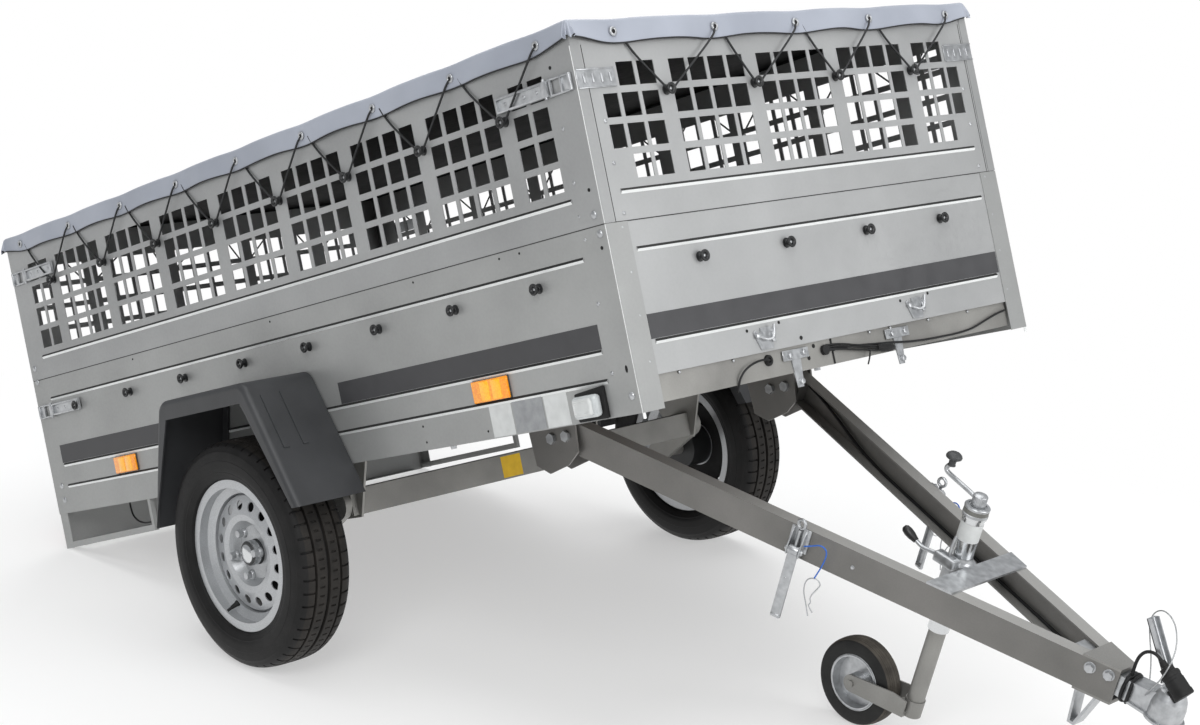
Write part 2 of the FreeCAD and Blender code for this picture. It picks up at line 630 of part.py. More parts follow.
def cornerClasps():
    """Overcentre fasteners on the corners, and the catch plates that they pull on."""
    body = newBody("corner_clasps")
    half = sizes.claspHeight / 2
    front = sizes.boxLength - sizes.claspInset
    clasps = [claspLayers(front, -1, sizes.claspLevel), claspLayers(sizes.claspInset, 1, sizes.claspLevel),
              claspLayers(sizes.claspInset, 1, sizes.gateClaspLevel)]
    wall = sizes.claspWall
    depths = ((0, wall), (wall, sizes.claspThickness), (wall, sizes.claspThickness - wall),
              (wall, sizes.claspThickness + wall), (wall, wall + sizes.claspRod))
    for side in (-1, 1):
        for layer, (inner, outer) in zip(zip(*clasps), depths):
            near, far = reach(side, boxHalf + inner, boxHalf + outer)
            slab(body, "XZ_Plane", [outline for outlines in layer for outline in outlines], near, far)
        near, far = reach(side, boxHalf - sizes.wrapWidth - sizes.strapLength / 2, boxHalf)
        strap = [rectangle(near, sizes.claspLevel - half, far, sizes.claspLevel + half)]
        slab(body, "YZ_Plane", strap, sizes.boxLength, sizes.boxLength + wall)
        near, far = reach(side, boxHalf - sizes.strapLength * hookShare, boxHalf)
        hook = [rectangle(near, sizes.claspLevel - half, far, sizes.claspLevel + half)]
        slab(body, "YZ_Plane", hook, sizes.boxLength + wall, sizes.boxLength + sizes.beadHeight)
    return keep(body, boxFrame)


def reflectors():
    body = newBody("side_reflectors")
    for side in (-1, 1):
        near, far = reach(side, boxHalf, boxHalf + sizes.reflectorDepth)
        spots = [centred(centre, sizes.reflectorLevel, sizes.reflectorLength, sizes.reflectorHeight)
                 for centre in (sizes.boxLength - sizes.frontReflectorSetback, sizes.rearReflectorX)]
        slab(body, "XZ_Plane", spots, near, far)
    soften(body, sizes.lensCorner, lambda edge: runsAlong(edge, Vector(0, 1, 0)))
    return keep(body, boxFrame)


def frontLamps():
    lenses = newBody("front_lamps")
    pads = newBody("front_lamp_pads")
    centre = sizes.boxLength - sizes.lampSetback
    for side in (-1, 1):
        near, far = reach(side, boxHalf, boxHalf + sizes.lampPad)
        pad = centred(centre, sizes.lampLevel, sizes.lampLength + sizes.lampPadMargin * 2,
                      sizes.lampHeight + sizes.lampPadMargin)
        slab(pads, "XZ_Plane", [pad], near, far)
        near, far = reach(side, boxHalf + sizes.lampPad, boxHalf + sizes.lampPad + sizes.lampDepth)
        lens = centred(centre, sizes.lampLevel, sizes.lampLength, sizes.lampHeight)
        slab(lenses, "XZ_Plane", [lens], near, far)
    for body in (lenses, pads):
        soften(body, sizes.lensCorner, lambda edge: runsAlong(edge, Vector(0, 1, 0)))
    keep(lenses, boxFrame)
    keep(pads, boxFrame)


def rearLamps():
    body = newBody("rear_lamps")
    level = (sizes.tailTop - sizes.tailDrop) / 2
    for side in (-1, 1):
        centre = side * (sizes.rearLampReach - sizes.rearLampLength / 2)
        lamp = centred(centre, level, sizes.rearLampLength, sizes.rearLampHeight)
        slab(body, "YZ_Plane", [lamp], -sizes.rearLampDepth, 0)
    return keep(body, boxFrame)


ribStartShares = (0.12, 0.55)
ribSpotShares = (0.5, 0.78)


def mudguard(name, side):
    """A moulded guard: a shell with rounded corners, open below, with a lip round its outer opening."""
    body = newBody(f"mudguard_{name}")
    centre = sizes.guardCentreX
    foot = -sizes.guardFoot
    top = sizes.guardTop
    inner = boxHalf + sizes.beadHeight + sizes.seatGap
    outer = boxHalf + sizes.guardWidth
    arch = [(centre - sizes.guardBottomHalf, foot), (centre - sizes.guardTopHalf, top),
            (centre + sizes.guardTopHalf, top), (centre + sizes.guardBottomHalf, foot)]
    near, far = reach(side, inner, outer)
    slab(body, "XZ_Plane", [arch], near, far)

    def crosses(edge):
        return runsAlong(edge, Vector(0, 1, 0)) and edge.CenterOfMass.z > 0

    def rims(edge):
        return abs(edge.CenterOfMass.y - side * outer) < sizes.seatGap and edge.CenterOfMass.z > foot + sizes.seatGap

    soften(body, sizes.guardCorner, crosses)
    soften(body, sizes.guardRound, rims)
    doc.recompute()
    base = body.Tip
    floorFaces = [f"Face{index}" for index, face in enumerate(base.Shape.Faces, start=1)
                  if abs(face.CenterOfMass.z - foot) < sizes.seatGap]
    shell = body.newObject("PartDesign::Thickness", "Thickness")
    shell.Base = (base, floorFaces)
    shell.setExpression("Value", sizes.guardWall.text)
    shell.Reversed = True
    body.Tip = shell
    lip = sizes.guardLip
    opening = [(centre - sizes.guardBottomHalf + sizes.guardWall * 2, foot - sizes.cutOverrun),
               (centre - sizes.guardTopHalf + lip / 2, top - lip), (centre + sizes.guardTopHalf - lip / 2, top - lip),
               (centre + sizes.guardBottomHalf - lip / 2, foot - sizes.cutOverrun)]
    near, far = reach(side, outer - sizes.guardWall * 2, outer + sizes.cutOverrun)
    cut(body, "XZ_Plane", [opening], near, far)
    flange = sizes.guardFlange
    opening = [(centre - sizes.guardBottomHalf + flange, foot - sizes.cutOverrun),
               (centre - sizes.guardTopHalf + flange / 2, top - flange),
               (centre + sizes.guardTopHalf - flange / 2, top - flange),
               (centre + sizes.guardBottomHalf - flange, foot - sizes.cutOverrun)]
    near, far = reach(side, inner - sizes.cutOverrun, inner + sizes.guardWall * 2)
    cut(body, "XZ_Plane", [opening], near, far)
    run = sizes.guardBottomHalf - sizes.guardTopHalf
    drop = top - foot
    start, end = ribStartShares
    low = (centre + sizes.guardTopHalf + run * end, top - drop * end)
    high = (centre + sizes.guardTopHalf + run * start, top - drop * start)
    rib = strip([high, low], sizes.guardRib * 2)
    for share in ribSpotShares:
        spot = inner + (outer - inner) * share
        near, far = reach(side, spot - sizes.guardRibWidth / 2, spot + sizes.guardRibWidth / 2)
        slab(body, "XZ_Plane", [rib], near, far)
    return keep(body, boxFrame)


def axleBeam():
    body = newBody("axle_beam")
    outer = centred(sizes.beamX, -sizes.beamDrop, sizes.beamSize, sizes.beamSize)
    bore = centred(sizes.beamX, -sizes.beamDrop, sizes.beamSize - sizes.frameWall * 2,
                   sizes.beamSize - sizes.frameWall * 2)
    slab(body, "XZ_Plane", [outer], -sizes.beamReach, sizes.beamReach)
    cut(body, "XZ_Plane", [bore], -sizes.beamReach - sizes.cutOverrun, sizes.beamReach + sizes.cutOverrun)
    return keep(body, boxFrame)


def axleBrackets():
    body = newBody("axle_brackets")
    top = sizes.floorLevel - sizes.frameHeight
    half = sizes.bracketLength / 2
    low = -sizes.beamDrop - sizes.beamSize / 2 - sizes.bracketPlate
    waist = sizes.beamSize / 2 + sizes.bracketPlate
    fit = sizes.beamSize / 2 + sizes.seatGap
    for side in (-1, 1):
        near, far = reach(side, sizes.bracketReach, sizes.bracketReach + sizes.bracketPlate)
        plate = [(sizes.beamX - half, top), (sizes.beamX + half, top), (sizes.beamX + waist, low),
                 (sizes.beamX - waist, low)]
        slab(body, "XZ_Plane", [plate], near, far)
        hole = centred(sizes.beamX, -sizes.beamDrop, fit * 2, fit * 2)
        cut(body, "XZ_Plane", [hole], near - sizes.cutOverrun, far + sizes.cutOverrun)
    return keep(body, boxFrame)


wheelHalfTrack = sizes.wheelTrack / 2


def swingArm(name, side):
    """The trailing arm of the axle, with the stub that carries the wheel."""
    body = newBody(f"swing_arm_{name}")
    start = sizes.beamReach + sizes.armGap
    near, far = reach(side, start, start + sizes.armThickness)
    run = sizes.beamX - sizes.wheelX
    rise = sizes.wheelDrop - sizes.beamDrop
    length = math.hypot(run, rise)
    tilt = math.atan2(rise, run)
    across = math.sin(tilt)
    up = math.cos(tilt)
    web = [(sizes.wheelX + sizes.armHubRadius * (-across), -sizes.wheelDrop + sizes.armHubRadius * up),
           (sizes.wheelX + sizes.armHubRadius * across, -sizes.wheelDrop - sizes.armHubRadius * up),
           (sizes.beamX + sizes.armEndRadius * across, -sizes.beamDrop - sizes.armEndRadius * up),
           (sizes.beamX - sizes.armEndRadius * across, -sizes.beamDrop + sizes.armEndRadius * up)]
    slab(body, "XZ_Plane", [web], near, far)
    slab(body, "XZ_Plane", [("circle", sizes.beamX, -sizes.beamDrop, sizes.armEndRadius)], near, far)
    slab(body, "XZ_Plane", [("circle", sizes.wheelX, -sizes.wheelDrop, sizes.armHubRadius)], near, far)
    near, far = reach(side, start, wheelHalfTrack - sizes.hubCapReach)
    slab(body, "XZ_Plane", [("circle", sizes.wheelX, -sizes.wheelDrop, sizes.stubRadius)], near, far)
    torsion = sizes.beamSize / 2 - sizes.frameWall - sizes.seatGap
    near, far = reach(side, sizes.beamReach - sizes.bracketPlate * 4, start)
    slab(body, "XZ_Plane", [centred(sizes.beamX, -sizes.beamDrop, torsion * 2, torsion * 2)], near, far)
    return keep(body, boxFrame)


cheekShares = ((0.0, 1.0), (1.0, 1.0), (0.94, 0.32), (0.70, 0.11), (0.29, 0.0), (0.04, 0.19))


def hingeBrackets():
    """Two cheeks under a top plate on each side, which hold the drawbar's hinge bolts."""
    brackets = newBody("hinge_brackets")
    bolts = newBody("hinge_bolts")
    top = sizes.floorLevel - sizes.frameHeight
    front = hingeX + sizes.armFlange
    rear = hingeX - sizes.cheekLength + sizes.armFlange
    height = top + sizes.cheekDepth
    cheek = [(rear + (front - rear) * along, height * up - sizes.cheekDepth) for along, up in cheekShares]
    innerCheek = sizes.eyeOuter - sizes.eyeLength - sizes.innerCheekGap
    outerCheek = sizes.eyeOuter + sizes.cheekGap
    for side in (-1, 1):
        for start in (innerCheek - sizes.cheekWall, outerCheek):
            near, far = reach(side, start, start + sizes.cheekWall)
            slab(brackets, "XZ_Plane", [cheek], near, far)
        near, far = reach(side, innerCheek - sizes.cheekWall, outerCheek + sizes.cheekWall)
        plate = rectangle(rear, top - sizes.cheekWall, hingeX - sizes.hingeEyeRadius, top)
        slab(brackets, "XZ_Plane", [plate], near, far)
        bore = [("circle", hingeX, -sizes.hingeDrop, sizes.hingeBoltRadius + sizes.runningPlay),
                ("circle", hingeX - sizes.stopBoltOffset, -sizes.hingeDrop,
                 sizes.hingeBoltRadius + sizes.runningPlay)]
        cut(brackets, "XZ_Plane", bore, near - sizes.cutOverrun, far + sizes.cutOverrun)
        shank = [("circle", hingeX, -sizes.hingeDrop, sizes.hingeBoltRadius)]
        stop = hingeX - sizes.stopBoltOffset
        head = [ring(hingeX, -sizes.hingeDrop, sizes.boltHead, 6), ring(stop, -sizes.hingeDrop, sizes.boltHead, 6)]
        slab(bolts, "XZ_Plane", shank, near - sizes.boltHeadDepth, far + sizes.boltHeadDepth)
        slab(bolts, "XZ_Plane", head, near - sizes.boltHeadDepth, near)
        slab(bolts, "XZ_Plane", head, far, far + sizes.boltHeadDepth)
        slab(bolts, "XZ_Plane", [("circle", stop, -sizes.hingeDrop, sizes.hingeBoltRadius)], near, far)
    keep(brackets, boxFrame)
    keep(bolts, boxFrame)


def keepers():
    """Hook plates on the front panel and guide tongues on the sill, which meet the drawbar when shut."""
    body = newBody("drawbar_keepers")
    face = sizes.boxLength - wall
    for side in (-1, 1):
        hook = centred(side * sizes.hookReach, sizes.hookLevel, sizes.hookWidth, sizes.hookHeight)
        slab(body, "YZ_Plane", [hook], face, face + sizes.hookPlate)
        centre = side * sizes.tongueReach
        tongue = [(centre - sizes.tongueWidth / 2, sizes.tongueTop), (centre + sizes.tongueWidth / 2, sizes.tongueTop),
                  (centre + sizes.tongueWidth / 4, -sizes.tongueDrop), (centre - sizes.tongueWidth / 4, -sizes.tongueDrop)]
        slab(body, "YZ_Plane", [tongue], sillFace, sillFace + sizes.hookPlate)
    return keep(body, boxFrame)


def wheelFrame(side):
    """The wheel's own frame: its axis is Y, and its outer face looks towards -Y."""
    turned = Rotation(Vector(0, 0, 1), 180 if side > 0 else 0)
    return boxFrame.multiply(Placement(Vector(sizes.wheelX, side * wheelHalfTrack, -sizes.wheelDrop), turned))


beadShare = 0.8
wallShares = ((0.45, 1.0), (1.0, 0.72))


def tyre(name, side):
    body = newBody(f"tyre_{name}")
    half = sizes.tyreWidth / 2
    seat = sizes.beadSeat + sizes.seatGap
    bead = sizes.rimWidth / 2 * beadShare
    depth = sizes.tyreRadius - seat
    outline = [(seat, bead)] + [(seat + depth * up, half * across) for up, across in wallShares]
    turn(body, outline + [(r, -y) for r, y in reversed(outline)])
    return keep(body, wheelFrame(side))


# Shares of half the rim's width: the drop centre, and the dish of the disc from its bore to its edge.
wellShares = (0.62, 0.44, 0.35, 0.60)
dishShares = (0.14, 0.14, 0.58, 0.64, 0.42, 0.20)
dishSteps = (2, 7, 12, 3, 0.5)


def rim(name, side):
    """A pressed steel wheel: a flanged barrel with a drop centre, and a dished disc with round holes."""
    body = newBody(f"rim_{name}")
    half = sizes.rimWidth / 2
    thick = sizes.rimWall
    seat = sizes.beadSeat
    well = sizes.wellRadius
    crown = sizes.flangeRadius
    lip = sizes.flangeWall
    outerSeat, outerWell, innerWell, innerSeat = [half * share for share in wellShares]
    barrel = [(crown, -half - lip), (crown, -half), (seat, -half), (seat, -outerSeat), (well, -outerWell),
              (well, innerWell), (seat, innerSeat), (seat, half), (crown, half), (crown, half + lip),
              (seat - thick, half + lip), (seat - thick, innerSeat + thick), (well - thick, innerWell + thick),
              (well - thick, -outerWell - thick), (seat - thick, -outerSeat - thick), (seat - thick, -half - lip)]
    turn(body, barrel)
    base = sizes.discBore
    hubEdge, crest, holeRing, shoulder, root = dishSteps
    radii = (base, sizes.hubRadius + thick * hubEdge, sizes.hubRadius + thick * crest,
             sizes.hubRadius + thick * holeRing, well - thick * shoulder, well - thick * root)
    faces = [(radius, -half * share) for radius, share in zip(radii, dishShares)]
    turn(body, faces + [(r, y + thick) for r, y in reversed(faces)])
    hole = cut(body, "XZ_Plane", [("circle", sizes.discHoleCircle, 0, sizes.discHoleRadius)], -half, 0)
    pattern = body.newObject("PartDesign::PolarPattern", "PolarPattern")
    pattern.Originals = [hole]
    pattern.Axis = (originAxis(body, "Y_Axis"), [""])
    pattern.Angle = 360
    pattern.Occurrences = 16
    body.Tip = pattern
    return keep(body, wheelFrame(side))


capShares = ((1.0, 0.0), (0.85, 0.15), (0.5, 0.22), (0.0, 0.24))


def hub(name, side):
    body = newBody(f"hub_{name}")
    half = sizes.rimWidth / 2
    face = -half * dishShares[0] + sizes.rimWall + sizes.seatGap
    bore = sizes.stubRadius + sizes.runningPlay
    cap = sizes.hubCapRadius
    dome = [(cap * along, -sizes.hubCapReach - cap * up) for along, up in capShares]
    outline = [(bore, sizes.hubDepth), (sizes.hubRadius, sizes.hubDepth), (sizes.hubRadius, face), (cap, face)]
    outline += dome + [(0, face), (bore, face)]
    turn(body, outline)
    return keep(body, wheelFrame(side))


vShare = sizes.vHalfWidth / sizes.vLength


def vWidth(along):
    """Half the width of the V over its outer faces."""
    return (sizes.vLength - along) * vShare


def drawbarArm(name, side):
    """One arm of the V: a channel open towards the middle, with the hinge eye at its rear end."""
    body = newBody(f"drawbar_arm_{name}")

    def edge(along, inset):
        """A point of the arm's plan, inset from its outer face."""
        return (along, side * (vWidth(along) - inset))

    half = sizes.armHeight / 2
    meeting = sizes.vLength - (sizes.armFlange + sizes.seatGap) / vShare
    strip = [edge(sizes.armStart, 0), edge(sizes.armEnd, 0), (sizes.armEnd, side * sizes.seatGap),
             (meeting, side * sizes.seatGap), edge(sizes.armStart, sizes.armFlange)]
    slab(body, "XY_Plane", [strip], -half, half)
    slab(body, "XZ_Plane", [("circle", 0, 0, sizes.hingeEyeRadius)],
         *reach(side, sizes.eyeOuter - sizes.eyeLength, sizes.eyeOuter))
    eyeBack = sizes.hingeEyeRadius + sizes.armWall
    hollow = [edge(sizes.armStart + eyeBack, sizes.armWall), edge(sizes.armEnd + sizes.cutOverrun, sizes.armWall),
              edge(sizes.armEnd + sizes.cutOverrun, sizes.armFlange + sizes.cutOverrun),
              edge(sizes.armStart + eyeBack, sizes.armFlange + sizes.cutOverrun)]
    cut(body, "XY_Plane", [hollow], -half + sizes.armWall, half - sizes.armWall)
    bore = [("circle", 0, 0, sizes.hingeBoltRadius + sizes.runningPlay)]
    near, far = reach(side, sizes.eyeOuter - sizes.eyeLength - sizes.armFlange, sizes.eyeOuter + sizes.armFlange)
    cut(body, "XZ_Plane", bore, near, far)
    return keep(body, drawbarFrame)


def nosePlates():
    body = newBody("nose_plates")
    half = sizes.armHeight / 2
    rear = sizes.nosePlateStart
    plan = [(rear, -vWidth(rear)), (sizes.armEnd, -vWidth(sizes.armEnd)), (sizes.armEnd, vWidth(sizes.armEnd)),
            (rear, vWidth(rear))]
    slab(body, "XY_Plane", [plan], half, half + sizes.nosePlateWall)
    slab(body, "XY_Plane", [plan], -half - sizes.nosePlateWall, -half)
    return keep(body, drawbarFrame)


def jockeyCrossPlate():
    """The plate between the arms with the clamp that grips the jockey's outer tube."""
    body = newBody("jockey_clamp")
    half = sizes.armHeight / 2
    start = sizes.crossPlateStart
    end = sizes.crossPlateEnd
    plan = [(start, -vWidth(start)), (end, -vWidth(end)), (end, vWidth(end)), (start, vWidth(start))]
    slab(body, "XY_Plane", [plan], half, half + sizes.crossPlateWall)
    ring = sizes.outerTubeRadius + sizes.clampWall
    low = half + sizes.crossPlateWall - sizes.clampHeight
    slab(body, "XY_Plane", [("circle", sizes.jockeyX, 0, ring)], low, half + sizes.crossPlateWall)
    neck = rectangle(sizes.jockeyX, -sizes.outerTubeRadius, start + sizes.clampWall, sizes.outerTubeRadius)
    slab(body, "XY_Plane", [neck], low, half + sizes.crossPlateWall)
    bore = [("circle", sizes.jockeyX, 0, sizes.outerTubeRadius + sizes.seatGap)]
    cut(body, "XY_Plane", bore, low - sizes.cutOverrun, half + sizes.crossPlateWall + sizes.cutOverrun)
    return keep(body, drawbarFrame)


# How far below the hinge's level, square to the V, the jockey wheel's axle has to be to meet the floor.
slope = math.radians(drawbarSlope)
jockeyAxleX = sizes.jockeyX - sizes.jockeyTrail
jockeyAxleLevel = (sizes.jockeyRadius - hingeSpot.z + jockeyAxleX * math.sin(slope)) / math.cos(slope)
forkTop = jockeyAxleLevel + sizes.forkDrop


def jockeyOuterTube():
    body = newBody("jockey_outer_tube")
    tube = [("circle", sizes.jockeyX, 0, sizes.outerTubeRadius)]
    slab(body, "XY_Plane", tube, -sizes.outerTubeBottom, sizes.outerTubeTop)
    bore = [("circle", sizes.jockeyX, 0, sizes.innerTubeRadius + sizes.runningPlay)]
    cut(body, "XY_Plane", bore, -sizes.outerTubeBottom - sizes.cutOverrun, sizes.outerTubeTop - sizes.frameWall)
    collar = [("circle", sizes.jockeyX, 0, sizes.tubeCapRadius)]
    slab(body, "XY_Plane", collar, sizes.outerTubeTop - sizes.frameWall, sizes.outerTubeTop + sizes.tubeCapHeight)
    return keep(body, drawbarFrame)


knobShares = ((0.0, 0.0), (0.5, 0.0), (0.5, 0.35), (0.9, 0.45), (1.0, 0.7), (0.8, 0.92), (0.0, 1.0))


def jockeyCrank():
    """The crank on top of the jockey's tube: a cap, a bent rod and a mushroom knob."""
    body = newBody("jockey_crank")
    base = sizes.outerTubeTop + sizes.tubeCapHeight
    slab(body, "XY_Plane", [("circle", sizes.jockeyX, 0, sizes.crankCapRadius)], base, base + sizes.crankCapHeight)
    rear = sizes.jockeyX - sizes.crankReach
    level = base + sizes.crankCapHeight / 2
    bend = level + sizes.crankRise
    rod = [(sizes.jockeyX, level), (rear, bend), (rear + sizes.crankStem / 2, bend + sizes.crankStem)]
    slab(body, "XZ_Plane", [strip(rod, sizes.crankRod * 2)], -sizes.crankRod, sizes.crankRod)
    knob = [(sizes.crankKnob * out, bend + sizes.crankStem + sizes.crankKnobHeight * up) for out, up in knobShares]
    turnUpright(body, knob, rear + sizes.crankStem / 2)
    return keep(body, drawbarFrame)


def clampLever():
    """The lever that tightens the jockey's clamp, with its grip."""
    body = newBody("clamp_lever")
    low = sizes.armHeight / 2 + sizes.crossPlateWall + sizes.seatGap
    rod = sizes.clampLeverRod
    start = sizes.jockeyX - sizes.clampLeverReach
    front = sizes.jockeyX + rod
    aside = -sizes.clampLeverOffset
    bar = [(start, low + sizes.clampPad + rod), (front - sizes.clampPad, low + sizes.clampPad / 2),
           (front, low + sizes.clampPad / 2)]
    slab(body, "XZ_Plane", [strip(bar, rod * 2)], aside - rod, aside + rod)
    pad = rectangle(sizes.crossPlateStart - sizes.clampPad, low, sizes.crossPlateStart, low + sizes.clampPad / 2 + rod)
    slab(body, "XZ_Plane", [pad], aside - sizes.clampPad / 2, aside + sizes.clampPad / 2)
    return keep(body, drawbarFrame)


def jockeyInnerTube():
    body = newBody("jockey_inner_tube")
    tube = [("circle", sizes.jockeyX, 0, sizes.innerTubeRadius)]
    slab(body, "XY_Plane", tube, forkTop + sizes.seatGap, -sizes.innerTubeTop)
    spigot = [("circle", sizes.jockeyX, 0, sizes.spigotRadius)]
    slab(body, "XY_Plane", spigot, forkTop - sizes.spigotLength, forkTop + sizes.seatGap)
    return keep(body, drawbarFrame)


def jockeyFork():
    body = newBody("jockey_fork")
    head = [("circle", sizes.jockeyX, 0, sizes.forkHeadRadius)]
    low = forkTop - sizes.forkHeadHeight
    slab(body, "XY_Plane", head, low, forkTop)
    inner = sizes.forkGap / 2
    outer = inner + sizes.forkPlate
    rear = jockeyAxleX + sizes.jockeyRadius + sizes.clampWall
    bridge = rectangle(rear, -outer, sizes.jockeyX, outer)
    slab(body, "XY_Plane", [bridge], low, low + sizes.forkPlate * 3)
    shape = [(jockeyAxleX, jockeyAxleLevel - sizes.jockeyHubRadius), (jockeyAxleX, jockeyAxleLevel + sizes.jockeyHubRadius),
             (rear, forkTop), (sizes.jockeyX, forkTop), (sizes.jockeyX, low)]
    for side in (-1, 1):
        near, far = reach(side, inner, outer)
        slab(body, "XZ_Plane", [shape], near, far)
        slab(body, "XZ_Plane", [("circle", jockeyAxleX, jockeyAxleLevel, sizes.jockeyHubRadius)], near, far)
    bore = [("circle", sizes.jockeyX, 0, sizes.spigotRadius + sizes.runningPlay)]
    cut(body, "XY_Plane", bore, forkTop - sizes.spigotLength - sizes.seatGap, forkTop + sizes.cutOverrun)
    pin = [("circle", jockeyAxleX, jockeyAxleLevel, sizes.jockeyPinRadius)]
    slab(body, "XZ_Plane", pin, -outer - sizes.forkPlate, outer + sizes.forkPlate)
    return keep(body, drawbarFrame)


treadShares = ((0.0, 1.0), (1.0, 0.8))


def jockeyWheel():
    tread = newBody("jockey_tyre")
    centre = newBody("jockey_rim")
    half = sizes.jockeyWidth / 2
    radius = sizes.jockeyRadius
    seat = sizes.jockeyRimRadius
    outline = [(seat + (radius - seat) * up, half * across) for up, across in treadShares]
    turn(tread, outline + [(r, -y) for r, y in reversed(outline)])
    bore = sizes.jockeyPinRadius + sizes.runningPlay
    hubHalf = sizes.jockeyHubWidth / 2
    rimEdge = seat - sizes.seatGap
    web = sizes.rimWall
    dish = [(bore, hubHalf), (sizes.jockeyHubRadius, hubHalf), (sizes.jockeyHubRadius, web),
            (rimEdge - sizes.rimWall * 2, web), (rimEdge - sizes.rimWall, half), (rimEdge, half)]
    turn(centre, dish + [(r, -y) for r, y in reversed(dish)])
    spot = Placement(Vector(jockeyAxleX, 0, jockeyAxleLevel), Rotation())
    keep(tread, drawbarFrame.multiply(spot))
    keep(centre, drawbarFrame.multiply(spot))


# Shares of the head's radius and height, from its foot to its crown.
headShares = ((0.0, 0.0), (1.0, 0.0), (1.0, 0.45), (0.92, 0.68), (0.72, 0.88), (0.4, 0.98), (0.0, 1.0))
handleShares = ((0.0, 0.0), (0.02, 0.16), (0.42, 0.5), (1.0, 1.0))


def coupling():
    """The pressed ball coupling: a neck between the arms, and a domed head with its socket open below."""
    body = newBody("ball_coupling")
    half = vWidth(sizes.armEnd) - sizes.armWall - sizes.seatGap
    low = -sizes.couplingHeadBottom
    neck = [(sizes.couplingNeckStart, -sizes.couplingNeckLow), (sizes.socketX, low),
            (sizes.socketX, sizes.couplingHeadTop - sizes.couplingShoulder),
            (sizes.socketX - sizes.couplingHeadRadius, sizes.couplingNeckTop + sizes.couplingShoulder / 2),
            (sizes.leadTurnStart + sizes.leadRadius * 4, sizes.couplingNeckTop),
            (sizes.couplingNeckStart, sizes.couplingNeckTop)]
    slab(body, "XZ_Plane", [neck], -half, half)
    height = sizes.couplingHeadTop - low
    head = [(sizes.couplingHeadRadius * out, low + height * up) for out, up in headShares]
    turnUpright(body, head, sizes.socketX)
    lip = sizes.couplingFlange
    rear = sizes.leadTurnStart + sizes.leadRadius * 6
    edge = rectangle(rear, -half - lip, sizes.socketX, half + lip)
    slab(body, "XY_Plane", [edge], low, low + lip)
    slab(body, "XY_Plane", [("circle", sizes.socketX, 0, sizes.couplingHeadRadius + lip)], low, low + lip)
    socket = [("circle", sizes.socketX, 0, sizes.socketRadius)]
    cut(body, "XY_Plane", socket, -sizes.couplingHeadBottom - sizes.couplingNeckLow,
        -sizes.couplingHeadBottom + sizes.socketDepth)
    keep(body, drawbarFrame)
    grip = newBody("coupling_handle")
    foot = sizes.couplingHeadTop + sizes.seatGap
    spots = [(sizes.handleFootX - sizes.handleRun * back, foot + sizes.handleRise * up) for back, up in handleShares]
    slab(grip, "XZ_Plane", [strip(spots, sizes.handleThickness)], -sizes.handleWidth / 2, sizes.handleWidth / 2)
    keep(grip, drawbarFrame)


def parkingFoot():
    """A bent strip under the nose that the drawbar can rest on."""
    body = newBody("parking_foot")
    top = -sizes.armHeight / 2 - sizes.nosePlateWall
    thick = sizes.footStrip
    tip = top - sizes.footDepth
    bend = [(sizes.footStart + thick, top), (sizes.footTip, tip + thick / 2), (sizes.footTip + thick * 2, tip + thick / 2),
            (sizes.footEnd, top)]
    slab(body, "XZ_Plane", [strip(bend, thick)], -sizes.footWidth / 2, sizes.footWidth / 2)
    cap = rectangle(sizes.footStart - thick, top, sizes.footEnd + thick, top + thick)
    cut(body, "XZ_Plane", [cap], -sizes.footWidth, sizes.footWidth)
    return keep(body, drawbarFrame)


def drawbarLatch(name, side):
    """The overcentre latch on the outer face of an arm: plate, cheeks, pin, eye and a lever that hangs open."""
    body = newBody(f"drawbar_latch_{name}")
    angle = math.degrees(math.atan2(sizes.vHalfWidth, sizes.vLength))
    half = sizes.latchLength / 2
    top = sizes.armHeight / 2
    skin = sizes.seatGap
    face = skin + sizes.latchPlate
    near, far = reach(side, skin, face)
    slab(body, "XZ_Plane", [rectangle(-half, -top / 2, half, top)], near, far)
    near, far = reach(side, face, sizes.latchReach)
    lever = sizes.latchLever / 2
    pinLevel = -sizes.latchLever / 2
    cheek = sizes.latchCheek
    cheeks = [rectangle(lever, pinLevel - sizes.latchPin * 2, lever + cheek, top),
              rectangle(-lever - cheek, pinLevel - sizes.latchPin * 2, -lever, top)]
    slab(body, "XZ_Plane", cheeks, near, far)
    pinReach = side * (sizes.latchReach - sizes.latchPin)
    pin = [("circle", pinReach, pinLevel, sizes.latchPin)]
    slab(body, "YZ_Plane", pin, -lever - cheek * 2, lever + cheek * 2)
    near, far = reach(side, sizes.latchReach - sizes.latchPin, sizes.latchReach - sizes.latchPin + cheek)
    slab(body, "XZ_Plane", [rectangle(-lever, -sizes.latchDrop, lever, pinLevel)], near, far)
    near, far = reach(side, face + cheek, sizes.latchReach - sizes.latchPin)
    sides = [rectangle(lever - cheek, -sizes.latchDrop, lever, pinLevel),
             rectangle(-lever, -sizes.latchDrop, -lever + cheek, pinLevel)]
    slab(body, "XZ_Plane", sides, near, far)
    near, far = reach(side, face, face + cheek * 2)
    slab(body, "XZ_Plane", [("circle", 0, sizes.latchRise, sizes.latchEye)], near, far)
    slab(body, "XZ_Plane", [rectangle(-cheek, 0, cheek, sizes.latchRise)], near, far)
    cut(body, "XZ_Plane", [("circle", 0, sizes.latchRise, sizes.latchEyeBore)], near, far)
    spot = Placement(Vector(sizes.latchX, side * vWidth(sizes.latchX), 0), Rotation(Vector(0, 0, 1), -side * angle))
    return keep(body, drawbarFrame.multiply(spot))


